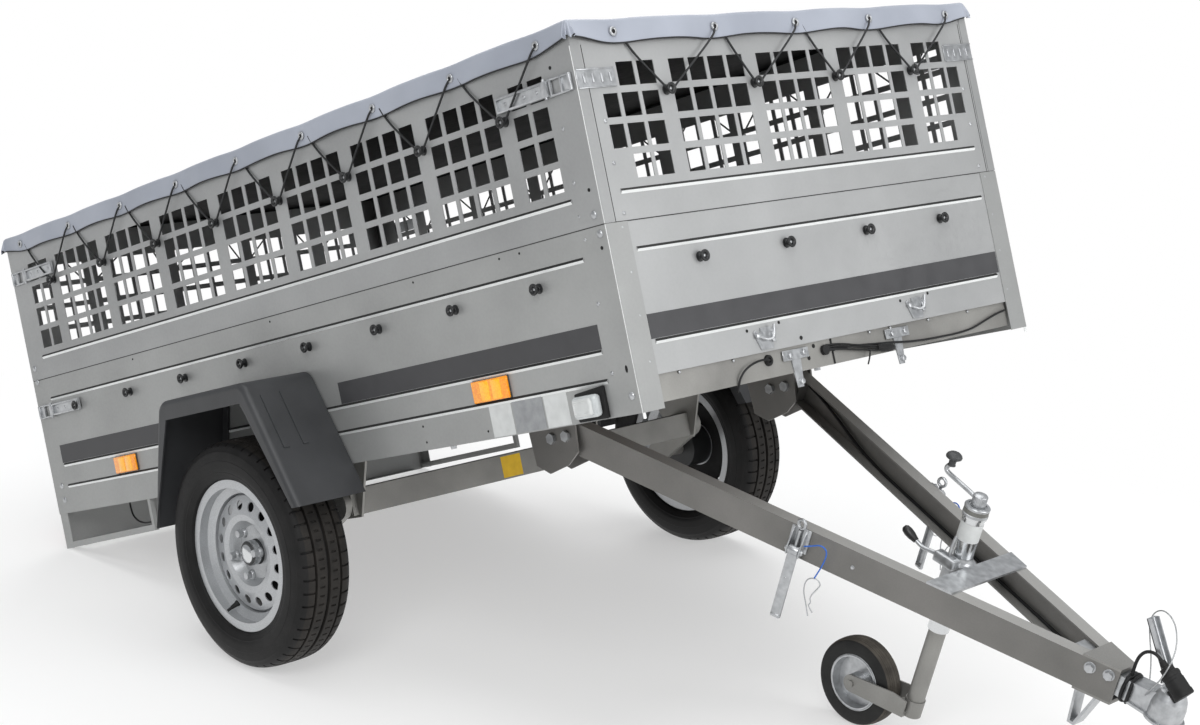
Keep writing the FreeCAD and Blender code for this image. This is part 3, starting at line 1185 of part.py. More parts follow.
def cordTube(points, radius):
    """A tube that follows a cord's route: straight runs joined by tangent arcs, each as large as its runs allow."""
    spots = [Vector(*point) for point in points]
    edges = []
    start = spots[0]
    bends = []
    for before, corner, after in zip(spots, spots[1:], spots[2:]):
        arriving = (before - corner).normalize()
        leaving = (after - corner).normalize()
        turned = math.pi - arriving.getAngle(leaving)
        shorter = min((before - corner).Length, (after - corner).Length)
        reachBack = bendShare * shorter
        bends.append(reachBack / math.tan(turned / 2))
        first = corner + arriving * reachBack
        last = corner + leaving * reachBack
        inward = (arriving + leaving).normalize()
        away = bends[-1] / math.cos(turned / 2)
        middle = corner + inward * (away - bends[-1])
        edges.append(Part.LineSegment(start, first).toShape())
        edges.append(Part.Arc(first, middle, last).toShape())
        start = last
    edges.append(Part.LineSegment(start, spots[-1]).toShape())
    path = Part.Wire(edges)
    section = Part.Wire([Part.Circle(spots[0], spots[1] - spots[0], radius).toShape()])
    tube = path.makePipeShell([section], True, False)
    print("cord of", round(path.Length, 1), "mm, tightest bend", round(min(bends), 1),
          "volume share", round(tube.Volume / (math.pi * radius ** 2 * path.Length), 4))
    return tube


def keepShape(name, shape, frame):
    feature = doc.addObject("Part::Feature", name)
    feature.Label = name
    feature.Shape = shape
    return keep(feature, frame)


# Routes of the cords, chosen by hand in millimetres.
# The tail and sill cables are in the box frame, the rest in the drawbar frame.
tailRoute = ((292, -588, 11.5), (292, -589, -14), (302, -592, -38), (330, -596, -56), (372, -598, -65),
             (414, -598, -62), (450, -595, -46), (470, -591, -20), (472, -588, 11.5))
sillRoute = ((2398, -66, 46), (2398.3, -20, 43), (2398, 30, 41), (2398.2, 85, 36), (2397.9, 140, 32),
             (2398.1, 200, 25), (2397.9, 262, 21), (2398.2, 324, 20), (2398, 386, 19.5), (2398.2, 440, 23),
             (2398, 490, 34), (2398.3, 536, 44), (2398, 576, 49))
armRoute = ((44, 370, 16), (110, 353, 10), (185, 329, -2), (275, 301, -19), (370, 273, -27.6), (468, 244, -28.1),
            (566, 215, -27.8), (665, 186, -28.1), (764, 156.5, -27.8), (862, 127.5, -28.1), (960, 98.5, -27.8),
            (1056, 70, -28.1), (1150, 42, -27.8), (1239, 15.5, -28.1))
leadRoute = ((1256, -10, 35.9), (1255, -12, 60), (1259, -16, 84), (1269, -20, 101.5), (1283, -22, 110.5),
             (1298, -22, 110.6), (1310, -22, 103.5))
wireRoute = ((1281, 24.5, 18), (1266, 34, 56), (1247, 36, 94), (1235, 30, 130), (1238, 22, 162), (1258, 12, 184),
             (1284, 2, 187), (1310, -12, 176), (1330, -28, 150), (1336, -42, 118), (1332, -50, 84), (1316, -43, 48),
             (1302, -24.5, 22))


bendShare = 0.45
collarShare = 0.72


def boxCables():
    """The lamp cables: one hangs behind the right side, one runs along the sill from its grommet."""
    radius = float(sizes.cableRadius)
    grommet = Part.makeCylinder(float(sizes.grommetRadius), float(sizes.knobCap),
                                Vector(float(sillFace), sillRoute[0][1] - float(sizes.grommetRadius), sillRoute[0][2]),
                                Vector(1, 0, 0))
    tail = cordTube(tailRoute, radius)
    sill = cordTube(sillRoute, radius)
    keepShape("box_cables", Part.makeCompound([tail, sill]), boxFrame)
    keepShape("sill_grommet", grommet, boxFrame)


def drawbarCables():
    """The trailer's lead along the left arm, its turns about the neck, its plug, and the steel safety cable."""
    radius = float(sizes.leadRadius)
    keepShape("drawbar_cable", cordTube(armRoute, radius), drawbarFrame)
    half = vWidth(sizes.armEnd) - sizes.armWall + sizes.leadPlay
    low = -sizes.couplingNeckLow - sizes.leadPlay
    high = sizes.couplingNeckTop + sizes.leadPlay
    thick = sizes.leadRadius * 2
    coil = newBody("trailer_lead")
    start = sizes.leadTurnStart
    outer = rectangle(-half - thick, low - thick, half + thick, high + thick)
    slab(coil, "YZ_Plane", [outer, rectangle(-half, low, half, high)], start, start + thick * 2)
    keep(coil, drawbarFrame)
    keepShape("lead_tail", cordTube(leadRoute, radius), drawbarFrame)
    keepShape("safety_cable", cordTube(wireRoute, float(sizes.wireRadius)), drawbarFrame)
    plug = newBody("lead_plug")
    boot = sizes.plugBoot
    collar = boot + sizes.plugCollar
    body = collar + sizes.plugLength
    slab(plug, "YZ_Plane", [("circle", 0, 0, sizes.leadRadius * 2)], 0, boot)
    slab(plug, "YZ_Plane", [("circle", 0, 0, sizes.plugRadius * collarShare)], boot, collar)
    slab(plug, "YZ_Plane", [("circle", 0, 0, sizes.plugRadius)], collar, body)
    spot = Placement(Vector(*leadRoute[-1]), Rotation(Vector(0, 1, 0), sizes.plugLean))
    keep(plug, drawbarFrame.multiply(spot))


for name, side in bothSides:
    sidePanel(name, side)
    meshSide(name, side)
    mudguard(name, side)
    swingArm(name, side)
    tyre(name, side)
    rim(name, side)
    hub(name, side)
    drawbarArm(name, side)
    drawbarLatch(name, side)
frontPanel()
meshEnd("mesh_front", sizes.boxLength - wall * 2, 1)
meshEnd("mesh_rear", 0, -1)
frameRails()
crossMembers()
floorPanel()
rearPosts()
tailBar()
tailgate()
cover()
knobs()
cornerClasps()
reflectors()
frontLamps()
rearLamps()
axleBeam()
axleBrackets()
hingeBrackets()
keepers()
nosePlates()
jockeyCrossPlate()
jockeyOuterTube()
jockeyCrank()
clampLever()
jockeyInnerTube()
jockeyFork()
jockeyWheel()
coupling()
parkingFoot()
boxCables()
drawbarCables()

doc.recompute()
for body, frame in pieces:
    body.Placement = frame
doc.recompute()

# The origin goes to the middle of the footprint, on the floor, measured without the free cords.
freeCords = ("lead_tail", "lead_plug", "safety_cable")
boxes = [body.Shape.optimalBoundingBox(False) for body, frame in pieces if body.Label not in freeCords]
middleX = (min(box.XMin for box in boxes) + max(box.XMax for box in boxes)) / 2
middleY = (min(box.YMin for box in boxes) + max(box.YMax for box in boxes)) / 2
shift = Placement(Vector(-middleX, -middleY, 0), Rotation())
for body, frame in pieces:
    body.Placement = shift.multiply(frame)
doc.recompute()

for feature in doc.Objects:
    if "Invalid" in feature.State or "Error" in feature.State:
        raise RuntimeError(f"{feature.Name} did not build")
    base = getattr(feature, "BaseFeature", None)
    if feature.TypeId == "PartDesign::Pocket" and feature.Shape.Volume >= base.Shape.Volume:
        raise RuntimeError(f"{feature.Name} of {feature.getParentGeoFeatureGroup().Name} cuts nothing")
for body, frame in pieces:
    if body.Shape.isNull() or not body.Shape.isValid():
        raise RuntimeError(f"{body.Label} has no valid shape")
    body.Shape.exportStep(f"parts/{body.Label}.step")

print("tip angle", tipAngle, "drawbar slope", drawbarSlope, "shift", shift.Base)
print("hinge", shift.multVec(hingeSpot))
print("nodes", len(pieces))
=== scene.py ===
import json
import math

import bpy
from mathutils import Matrix, Vector, noise as clouds


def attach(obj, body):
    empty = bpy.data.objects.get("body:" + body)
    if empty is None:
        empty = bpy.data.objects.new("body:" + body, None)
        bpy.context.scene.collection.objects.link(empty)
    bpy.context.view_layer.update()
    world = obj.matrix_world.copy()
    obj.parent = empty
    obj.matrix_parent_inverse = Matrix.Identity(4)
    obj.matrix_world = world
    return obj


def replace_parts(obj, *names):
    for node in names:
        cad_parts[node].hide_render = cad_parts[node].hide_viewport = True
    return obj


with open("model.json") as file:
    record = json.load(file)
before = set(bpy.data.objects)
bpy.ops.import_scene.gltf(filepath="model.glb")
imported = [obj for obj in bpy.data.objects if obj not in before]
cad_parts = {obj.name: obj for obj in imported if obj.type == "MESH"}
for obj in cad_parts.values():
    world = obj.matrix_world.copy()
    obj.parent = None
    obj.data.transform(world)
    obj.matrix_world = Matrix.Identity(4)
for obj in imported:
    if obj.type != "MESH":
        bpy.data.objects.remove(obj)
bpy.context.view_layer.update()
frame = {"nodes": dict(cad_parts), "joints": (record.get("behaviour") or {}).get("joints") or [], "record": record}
nodes = frame["nodes"]
joints = {joint["name"]: joint for joint in frame["joints"]}
mounts = {mount["name"]: mount for mount in frame["record"]["mounts"]}
print("frame loaded:", len(nodes), "nodes")

# Two frames of the object, both in metres.
# Box frame: x forward from the tail, y left, z up from the lower edge of the sides.
# Drawbar frame: origin on the hinge axis, x forward along the V, z square to it.
box = {
    "half": 0.645, "front": 2.398, "middleX": 1.2, "wheelX": 1.125, "wheelDrop": 0.162, "pitch": 0.277,
    "frontPitch": 0.2675,
}
floorAxis = mounts["load_floor"]["axis"]
tilt = math.atan2(-floorAxis[0], floorAxis[2])
wheelSpot = Vector(joints["wheel_right_spin"]["pos_m"])
wheelSpot.y = 0
boxMatrix = (Matrix.Translation(wheelSpot) @ Matrix.Rotation(-tilt, 4, "Y")
             @ Matrix.Translation((-box["wheelX"], 0, box["wheelDrop"])))
legAxis = joints["jockey_leg_slide"]["axis"]
slope = math.atan2(legAxis[0], legAxis[2])
barMatrix = Matrix.Translation(joints["drawbar_fold"]["pos_m"]) @ Matrix.Rotation(slope, 4, "Y")


def linear(code):
    channels = [int(code[i:i + 2], 16) / 255 for i in (1, 3, 5)]
    return [c / 12.92 if c <= 0.04045 else ((c + 0.055) / 1.055) ** 2.4 for c in channels] + [1]


# adds a node with its settings, what its sockets take, a ramp's two stops and the sockets that it feeds
def addNode(material, kind, links=None, stops=(), feeds=(), **settings):
    tree = material.node_tree
    made = tree.nodes.new("ShaderNode" + kind)
    for name, value in settings.items():
        setattr(made, name, value)
    for socket, source in (links or {}).items():
        target = made.inputs[socket]
        if isinstance(source, bpy.types.NodeSocket):
            tree.links.new(source, target)
        else:
            target.default_value = source
    for number, (place, colour) in enumerate(stops):
        element = made.color_ramp.elements[number]
        element.position = place
        element.color = linear(colour) if isinstance(colour, str) else (colour, colour, colour, 1)
    for target in feeds:
        tree.links.new(made.outputs[0], target)
    return made


def newMaterial(name, colour, roughness, metallic=0.0):
    material = bpy.data.materials.new(name)
    material.use_nodes = True
    shader = material.node_tree.nodes["Principled BSDF"]
    shader.inputs["Base Color"].default_value = linear(colour)
    shader.inputs["Roughness"].default_value = roughness
    shader.inputs["Metallic"].default_value = metallic
    return material, shader


def objectSpace(material, turned=(0, 0, 0), scale=(1, 1, 1)):
    place = addNode(material, "TexCoord").outputs["Object"]
    return addNode(material, "Mapping", {"Vector": place, "Rotation": turned,
                                         "Scale": scale}).outputs["Vector"]


mm = 0.001
boxUp = boxMatrix.to_3x3() @ Vector((0, 0, 1))
tiltTurn = (0, tilt, 0)
slopeTurn = (0, -slope, 0)


# how far a surface turns towards a direction of the box: 0 square to it or away, 1 when it faces it well
def facing(material, direction):
    normal = addNode(material, "TexCoord").outputs["Normal"]
    turned = addNode(material, "VectorMath", {0: normal, 1: direction}, operation="DOT_PRODUCT")
    stops = [(0.14, 0.0), (0.38, 1.0)]
    return addNode(material, "ValToRGB", {"Fac": turned.outputs["Value"]}, stops).outputs["Color"]


# continuously galvanised sheet: a smooth pale zinc skin with a faint mottle and cloudy sheen,
# painted shade on what faces up and a painted highlight on what faces down, so that the pressed beads read as
# grooves
def galvanisedSheet(name="galvanisedSheet", dark="#969796", light="#a5a6a5"):
    material, shader = newMaterial(name, light, 0.4, 0.45)
    space = objectSpace(material, tiltTurn)
    cloud = addNode(material, "TexNoise", {"Vector": space, "Scale": 1 / (260 * mm),
                                           "Detail": 3}).outputs["Fac"]
    spangle = addNode(material, "TexNoise", {"Vector": space, "Scale": 1 / (7 * mm),
                                             "Detail": 2}).outputs["Fac"]
    tone = addNode(material, "ValToRGB", {"Fac": cloud}, [(0.3, dark), (0.7, light)]).outputs["Color"]
    # painted highlight: a near-white tone on what faces down
    withPaintedHighlight = addNode(material, "MixRGB", {"Fac": facing(material, -boxUp), "Color1": tone,
                                          "Color2": linear("#e6e8e7")}).outputs["Color"]
    # painted shade: a near-black tone on what faces up
    addNode(material, "MixRGB", {"Fac": facing(material, boxUp), "Color1": withPaintedHighlight,
                                 "Color2": linear("#2c2c2b")},
            feeds=[shader.inputs["Base Color"]])
    addNode(material, "ValToRGB", {"Fac": spangle}, [(0.35, 0.4), (0.65, 0.52)], [shader.inputs["Roughness"]])
    addNode(material, "Bump", {"Height": spangle, "Distance": 0.03 * mm, "Strength": 0.12},
            feeds=[shader.inputs["Normal"]])
    return material


# hot-dip galvanised steel: duller, darker, with drips and a coarse mottle, and a tone of its own painted on what
# faces up: a painted highlight on the drawbar's tops, painted shade on the axle's under the box
def hotDipSteel(name="hotDipGalvanisedSteel", dark="#7c7b78", light="#9c9b97", paintedTopTone="#8d8c89"):
    material, shader = newMaterial(name, "#8d8d8a", 0.42, 0.55)
    space = objectSpace(material, tiltTurn)
    cloud = addNode(material, "TexNoise", {"Vector": space, "Scale": 1 / (180 * mm),
                                           "Detail": 3}).outputs["Fac"]
    grain = addNode(material, "TexNoise", {"Vector": space, "Scale": 1 / (3 * mm),
                                           "Detail": 3}).outputs["Fac"]
    tone = addNode(material, "ValToRGB", {"Fac": cloud}, [(0.3, dark), (0.7, light)]).outputs["Color"]
    # painted light: the top tone on what faces up
    addNode(material, "MixRGB", {"Fac": facing(material, boxUp), "Color1": tone, "Color2": linear(paintedTopTone)},
            feeds=[shader.inputs["Base Color"]])
    addNode(material, "ValToRGB", {"Fac": grain}, [(0.3, 0.4), (0.7, 0.58)], [shader.inputs["Roughness"]])
    addNode(material, "Bump", {"Height": grain, "Distance": 0.05 * mm, "Strength": 0.12},
            feeds=[shader.inputs["Normal"]])
    return material


# bright zinc plating: clear, slightly blue, with soft reflections
def zincPlate():
    material, shader = newMaterial("brightZincPlate", "#b6b8ba", 0.32, 0.75)
    smear = addNode(material, "TexNoise", {"Vector": objectSpace(material), "Scale": 1 / (14 * mm),
                                           "Detail": 2}).outputs["Fac"]
    addNode(material, "ValToRGB", {"Fac": smear}, [(0.3, "#a6a8aa"), (0.7, "#bfc1c3")],
            [shader.inputs["Base Color"]])
    addNode(material, "ValToRGB", {"Fac": smear}, [(0.3, 0.28), (0.7, 0.4)], [shader.inputs["Roughness"]])
    return material


# chromed steel tube: a mirror with faint wipe marks along it
def chrome():
    material, shader = newMaterial("chromedTube", "#d5d7d8", 0.14, 1.0)
    wipe = addNode(material, "TexNoise", {"Vector": objectSpace(material, slopeTurn, (1, 1, 0.15)),
                                          "Scale": 1 / (6 * mm), "Detail": 2}).outputs["Fac"]
    addNode(material, "ValToRGB", {"Fac": wipe}, [(0.3, 0.12), (0.7, 0.24)], [shader.inputs["Roughness"]])
    return material


# silver wheel enamel: fine metal flake under a satin lacquer
def wheelEnamel():
    material, shader = newMaterial("silverWheelEnamel", "#a9abad", 0.36, 0.5)
    flake = addNode(material, "TexNoise", {"Vector": objectSpace(material), "Scale": 1 / (1.4 * mm),
                                           "Detail": 1}).outputs["Fac"]
    addNode(material, "ValToRGB", {"Fac": flake}, [(0.3, "#a3a5a7"), (0.7, "#c0c2c4")],
            [shader.inputs["Base Color"]])
    shader.inputs["Coat Weight"].default_value = 0.3
    shader.inputs["Coat Roughness"].default_value = 0.2
    return material


# rubber: carbon black, matt, a little browner and duller where it meets the road
def tyreRubber(name="tyreRubber", dark="#0f0f0f", light="#191818", rough=(0.5, 0.7)):
    material, shader = newMaterial(name, dark, 0.62)
    shader.inputs["Specular IOR Level"].default_value = 0.28
    space = objectSpace(material)
    dust = addNode(material, "TexNoise", {"Vector": space, "Scale": 1 / (40 * mm),
                                          "Detail": 4}).outputs["Fac"]
    grain = addNode(material, "TexNoise", {"Vector": space, "Scale": 1 / (1.2 * mm),
                                           "Detail": 2}).outputs["Fac"]
    addNode(material, "ValToRGB", {"Fac": dust}, [(0.35, dark), (0.7, light)], [shader.inputs["Base Color"]])
    addNode(material, "ValToRGB", {"Fac": grain}, [(0.3, rough[0]), (0.7, rough[1])],
            [shader.inputs["Roughness"]])
    addNode(material, "Bump", {"Height": grain, "Distance": 0.15 * mm, "Strength": 0.3},
            feeds=[shader.inputs["Normal"]])
    return material


# moulded polypropylene: black, with a fine spark-eroded grain
def mouldedPlastic(name="mouldedPolypropylene", dark="#2c2d2e", light="#3a3b3c", rough=(0.42, 0.58)):
    material, shader = newMaterial(name, dark, 0.48)
    space = objectSpace(material)
    grain = addNode(material, "TexNoise", {"Vector": space, "Scale": 1 / (1.5 * mm),
                                           "Detail": 2}).outputs["Fac"]
    cloud = addNode(material, "TexNoise", {"Vector": space, "Scale": 1 / (120 * mm),
                                           "Detail": 3}).outputs["Fac"]
    addNode(material, "ValToRGB", {"Fac": cloud}, [(0.3, dark), (0.7, light)], [shader.inputs["Base Color"]])
    addNode(material, "ValToRGB", {"Fac": grain}, [(0.3, rough[0]), (0.7, rough[1])],
            [shader.inputs["Roughness"]])
    addNode(material, "Bump", {"Height": grain, "Distance": 0.12 * mm, "Strength": 0.35},
            feeds=[shader.inputs["Normal"]])
    return material


# film-faced plywood: dark brown phenolic film with a pressed net
def plywood():
    material, shader = newMaterial("filmFacedPlywood", "#3b2a20", 0.45)
    grain = addNode(material, "TexNoise", {"Vector": objectSpace(material, tiltTurn, (1, 6, 1)),
                                           "Scale": 1 / (90 * mm), "Detail": 5}).outputs["Fac"]
    addNode(material, "ValToRGB", {"Fac": grain}, [(0.3, "#2e211a"), (0.7, "#4a3629")],
            [shader.inputs["Base Color"]])
    return material


# amber and red acrylic: bright, with prisms behind a flat face, which glow faintly in their own colours: a painted
# glow
def reflexLens(name, colour, bright):
    material, shader = newMaterial(name, colour, 0.16)
    cells = addNode(material, "TexVoronoi", {"Vector": objectSpace(material, tiltTurn),
                                             "Scale": 1 / (4 * mm)})
    addNode(material, "ValToRGB", {"Fac": cells.outputs["Distance"]}, [(0.0, bright), (0.7, colour)],
            [shader.inputs["Base Color"], shader.inputs["Emission Color"]])
    # painted glow: the lens colours fed to a faint emission
    shader.inputs["Emission Strength"].default_value = 0.12
    shader.inputs["Coat Weight"].default_value = 0.6
    return material


# a plain film or paint of one tone, worn a little by handling
def thinFilm(name, dark, light, rough, metallic=0.0, size=20 * mm):
    material, shader = newMaterial(name, light, rough, metallic)
    wear = addNode(material, "TexNoise", {"Vector": objectSpace(material), "Scale": 1 / size,
                                          "Detail": 4}).outputs["Fac"]
    addNode(material, "ValToRGB", {"Fac": wear}, [(0.3, dark), (0.7, light)], [shader.inputs["Base Color"]])
    addNode(material, "ValToRGB", {"Fac": wear}, [(0.3, rough - 0.06), (0.7, rough + 0.06)],
            [shader.inputs["Roughness"]])
    return material


# PVC-coated polyester: grey-blue, satin, its weave showing faintly through the coat
def coatedCloth():
    material, shader = newMaterial("coatedPolyesterCloth", "#a3a8b3", 0.5)
    place = addNode(material, "UVMap", uv_map="cloth").outputs["UV"]
    shade = addNode(material, "TexNoise", {"Vector": place, "Scale": 1 / (260 * mm),
                                           "Detail": 3}).outputs["Fac"]
    rub = addNode(material, "TexNoise", {"Vector": place, "Scale": 1 / (24 * mm), "Detail": 4}).outputs["Fac"]
    addNode(material, "ValToRGB", {"Fac": shade}, [(0.3, "#9297a2"), (0.7, "#a4a9b4")],
            [shader.inputs["Base Color"]])
    addNode(material, "ValToRGB", {"Fac": rub}, [(0.3, 0.42), (0.7, 0.56)], [shader.inputs["Roughness"]])
    warp = addNode(material, "TexWave", {"Vector": place, "Scale": 0.5 / (2.4 * mm)}, bands_direction="X")
    weft = addNode(material, "TexWave", {"Vector": place, "Scale": 0.5 / (2.4 * mm)}, bands_direction="Y")
    weave = addNode(material, "Math", {0: warp.outputs["Fac"], 1: weft.outputs["Fac"]}, operation="ADD")
    addNode(material, "Bump", {"Height": weave.outputs[0], "Distance": 0.12 * mm, "Strength": 0.25},
            feeds=[shader.inputs["Normal"]])
    shader.inputs["Sheen Weight"].default_value = 0.15
    return material


# woven elastic cord: black braid, darker between its ridges as painted shade
def elasticBraid():
    material, shader = newMaterial("braidedElasticCord", "#1c1d1f", 0.7)
    braid = addNode(material, "TexWave", {"Vector": objectSpace(material, tiltTurn), "Scale": 0.5 / (3 * mm)},
                    bands_direction="DIAGONAL").outputs["Fac"]
    addNode(material, "ValToRGB", {"Fac": braid}, [(0.2, "#131415"), (0.8, "#2a2b2d")],
            [shader.inputs["Base Color"]])
    addNode(material, "Bump", {"Height": braid, "Distance": 0.3 * mm, "Strength": 0.5},
            feeds=[shader.inputs["Normal"]])
    return material


# laid steel wire rope: bright strands, with painted shade between them and a painted highlight on them along the
# lay
def wireRope():
    material, shader = newMaterial("laidWireRope", "#b9bbbc", 0.35, 0.85)
    strands = addNode(material, "TexWave", {"Vector": objectSpace(material), "Scale": 0.5 / (1.6 * mm)},
                      bands_direction="DIAGONAL").outputs["Fac"]
    addNode(material, "ValToRGB", {"Fac": strands}, [(0.2, "#7b7c7d"), (0.7, "#cdcfd0")],
            [shader.inputs["Base Color"]])
    addNode(material, "Bump", {"Height": strands, "Distance": 0.25 * mm, "Strength": 0.6},
            feeds=[shader.inputs["Normal"]])
    return material


finishes = {
    "sheet": galvanisedSheet(),
    # the front panel and its cage take a lighter copy of the same sheet: painted light, as the front is lit more
    "frontSheet": galvanisedSheet("galvanisedFrontSheetPaintedLighter", "#a2a3a3", "#afb0b0"),
    "mesh": galvanisedSheet("galvanisedMeshSheet", "#989999", "#a6a7a7"),
    # the last tone of each hot-dip copy is painted on what faces up: a painted highlight on the drawbar, painted
    # shade on the axle under the box
    "hotDip": hotDipSteel(),
    "bar": hotDipSteel("hotDipDrawbarSteel", "#6f6e6b", "#817f7c", "#a5a4a1"),
    "axle": hotDipSteel("hotDipAxleSteel", "#7c7b78", "#94938f", "#242322"),
    "zinc": zincPlate(),
    "chrome": chrome(),
    "wheel": wheelEnamel(),
    "tyre": tyreRubber(),
    "tread": tyreRubber("tyreTreadRubber", "#1c1a18", "#2b2825", (0.6, 0.8)),
    "jockeyRubber": tyreRubber("jockeyRubber", "#1b1b1b", "#262625"),
    "plastic": mouldedPlastic(),
    "guard": mouldedPlastic("mouldedMudguard", "#2f3032", "#3b3c3e"),
    "knob": mouldedPlastic("mouldedNylonKnob", "#141516", "#1f2021", (0.3, 0.42)),
    "jockeyTread": tyreRubber("jockeyTreadRubber", "#3f3b36", "#57524b", (0.6, 0.8)),
    "rubber": tyreRubber("mouldedRubber", "#161616", "#222222"),
    "cable": tyreRubber("cableSheathRubber", "#151516", "#1e1e1f", (0.42, 0.56)),
    "shadow": thinFilm("darkHole", "#0b0b0b", "#121212", 0.8),
    "stripe": thinFilm("greyReflectiveTape", "#39393b", "#424244", 0.55, 0.0, 50 * mm),
    "paper": thinFilm("blankPaperLabel", "#c3c5c4", "#d0d2d1", 0.5),
    "foil": thinFilm("blankFoilLabel", "#8b8d8f", "#a0a2a4", 0.4, 0.4),
    "bandGrey": thinFilm("collarBandPaint", "#6a6a66", "#7c7c78", 0.5, 0.3),
    "yellow": thinFilm("yellowSticker", "#e3b512", "#f0c41c", 0.45),
    "blue": thinFilm("blueNylonLanyard", "#2456a8", "#2f68c2", 0.6, 0.0, 4 * mm),
    "grip": thinFilm("dippedVinylGrip", "#151515", "#202020", 0.4),
    "braid": elasticBraid(),
    "wire": wireRope(),
    "cloth": coatedCloth(),
    "plywood": plywood(),
    "amber": reflexLens("amberReflexLens", "#f08a04", "#ffb014"),
    "brightAmber": reflexLens("brightAmberPrisms", "#ffae0c", "#ffc526"),
    "red": reflexLens("redReflexLens", "#9d0b0b", "#d31a14"),
    "clear": reflexLens("clearLens", "#a9adae", "#ccd0d0"),
    "lens": thinFilm("mouldedClearLens", "#aeb2b3", "#cfd3d3", 0.14, 0.0, 30 * mm),
    # bright strips on the corner bends: a painted highlight
    "edge": thinFilm("paintedHighlightZincEdge", "#dcdedd", "#edeeed", 0.35, 0.2),
    "seam": thinFilm("sheetSeamShadow", "#2c2c2c", "#3c3c3b", 0.7),
    # the cloth's underside: near-black, painted shade under the cover
    "undersideShade": thinFilm("clothUndersidePaintedShade", "#08080a", "#101012", 0.75),
}
print("materials made:", len(finishes))

nodeFinish = {
    "sheet": ["side_panel_right", "side_panel_left", "tailgate", "rear_posts", "tail_bar"],
    "frontSheet": ["front_panel", "mesh_front"],
    "axle": ["axle_beam"],
    "mesh": ["mesh_side_right", "mesh_side_left", "mesh_rear"],
    "hotDip": ["frame_rails", "frame_cross_members", "axle_brackets", "nose_plates", "swing_arm_right",
               "swing_arm_left", "jockey_inner_tube", "jockey_fork"],
    "bar": ["drawbar_arm_right", "drawbar_arm_left", "hinge_brackets"],
    "zinc": ["ball_coupling", "coupling_handle", "corner_clasps", "drawbar_keepers", "hinge_bolts",
             "jockey_clamp", "parking_foot", "drawbar_latch_right", "drawbar_latch_left", "clamp_lever",
             "jockey_rim"],
    "chrome": ["jockey_outer_tube"],
    "wheel": ["rim_right", "rim_left"],
    "tyre": ["tyre_right", "tyre_left"],
    "jockeyRubber": ["jockey_tyre"],
    "plastic": ["jockey_crank", "hub_right", "hub_left", "lead_plug"],
    "guard": ["mudguard_right", "mudguard_left"],
    "knob": ["lashing_knobs"],
    "rubber": ["front_lamp_pads", "sill_grommet"],
    "cable": ["box_cables", "drawbar_cable", "trailer_lead", "lead_tail"],
    "wire": ["safety_cable"],
    "cloth": ["cover"],
    "plywood": ["floor_panel"],
    "amber": ["side_reflectors"],
    "red": ["rear_lamps"],
    "clear": ["front_lamps"],
}
for finish, names in nodeFinish.items():
    for name in names:
        nodes[name].data.materials.clear()
        nodes[name].data.materials.append(finishes[finish])


# primitives, each added alone at its size and place
primitives = {
    "cube": bpy.ops.mesh.primitive_cube_add, "cylinder": bpy.ops.mesh.primitive_cylinder_add,
    "torus": bpy.ops.mesh.primitive_torus_add, "plane": bpy.ops.mesh.primitive_plane_add,
    "grid": bpy.ops.mesh.primitive_grid_add,
}


def select(piece):
    bpy.ops.object.select_all(action="DESELECT")
    piece.select_set(True)
    bpy.context.view_layer.objects.active = piece


def addPrimitive(kind, name, spot=(0, 0, 0), turned=(0, 0, 0), stretch=(1, 1, 1), **settings):
    bpy.ops.object.select_all(action="DESELECT")
    primitives[kind](location=spot, rotation=turned, **settings)
    piece = bpy.context.object
    piece.name = name
    piece.scale = stretch
    bpy.ops.object.transform_apply(location=True, rotation=True, scale=True)
    return piece


# goes into edit mode with the faces or edges that pass a test selected
def pick(piece, test, kind="FACE"):
    select(piece)
    bpy.ops.object.mode_set(mode="EDIT")
    bpy.ops.mesh.select_mode(type=kind)
    bpy.ops.mesh.select_all(action="DESELECT")
    bpy.ops.object.mode_set(mode="OBJECT")
    mesh = piece.data
    if kind == "FACE":
        for polygon in mesh.polygons:
            polygon.select = bool(test(polygon.center, polygon.normal))
    else:
        for edge in mesh.edges:
            first, second = [mesh.vertices[index].co for index in edge.vertices]
            edge.select = bool(test((first + second) / 2, (second - first).normalized()))
    bpy.ops.object.mode_set(mode="EDIT")


def endEdit():
    bpy.ops.object.mode_set(mode="OBJECT")


# insets the faces that pass a test, once for each (thickness, depth)
def insetFaces(piece, test, *steps):
    pick(piece, test)
    for thickness, depth in steps:
        bpy.ops.mesh.inset(thickness=thickness, depth=depth)
    endEdit()
    return piece


def bevelEdges(piece, width, test=None, segments=2):
    pick(piece, test or (lambda middle, run: True), "EDGE")
    bpy.ops.mesh.bevel(offset=width, segments=segments, affect="EDGES", clamp_overlap=True)
    endEdit()
    return piece


# a block between two corners, its edges rounded
def block(name, low, high, rounded=0.0, segments=2, test=None):
    middle = [(a + b) / 2 for a, b in zip(low, high)]
    piece = addPrimitive("cube", name, middle, stretch=[abs(b - a) for a, b in zip(low, high)], size=1)
    return bevelEdges(piece, rounded, test, segments) if rounded else piece


# one vertex, extruded along a row of points
def extruded(name, points):
    piece = addPrimitive("plane", name, size=0.01)
    bpy.ops.object.mode_set(mode="EDIT")
    bpy.ops.mesh.select_mode(type="VERT")
    bpy.ops.mesh.select_all(action="SELECT")
    bpy.ops.mesh.merge(type="CENTER")
    bpy.ops.transform.translate(value=points[0])
    for start, end in zip(points, points[1:]):
        step = {"value": [b - a for a, b in zip(start, end)]}
        bpy.ops.mesh.extrude_vertices_move(TRANSFORM_OT_translate=step)
    bpy.ops.mesh.select_all(action="SELECT")
    return piece


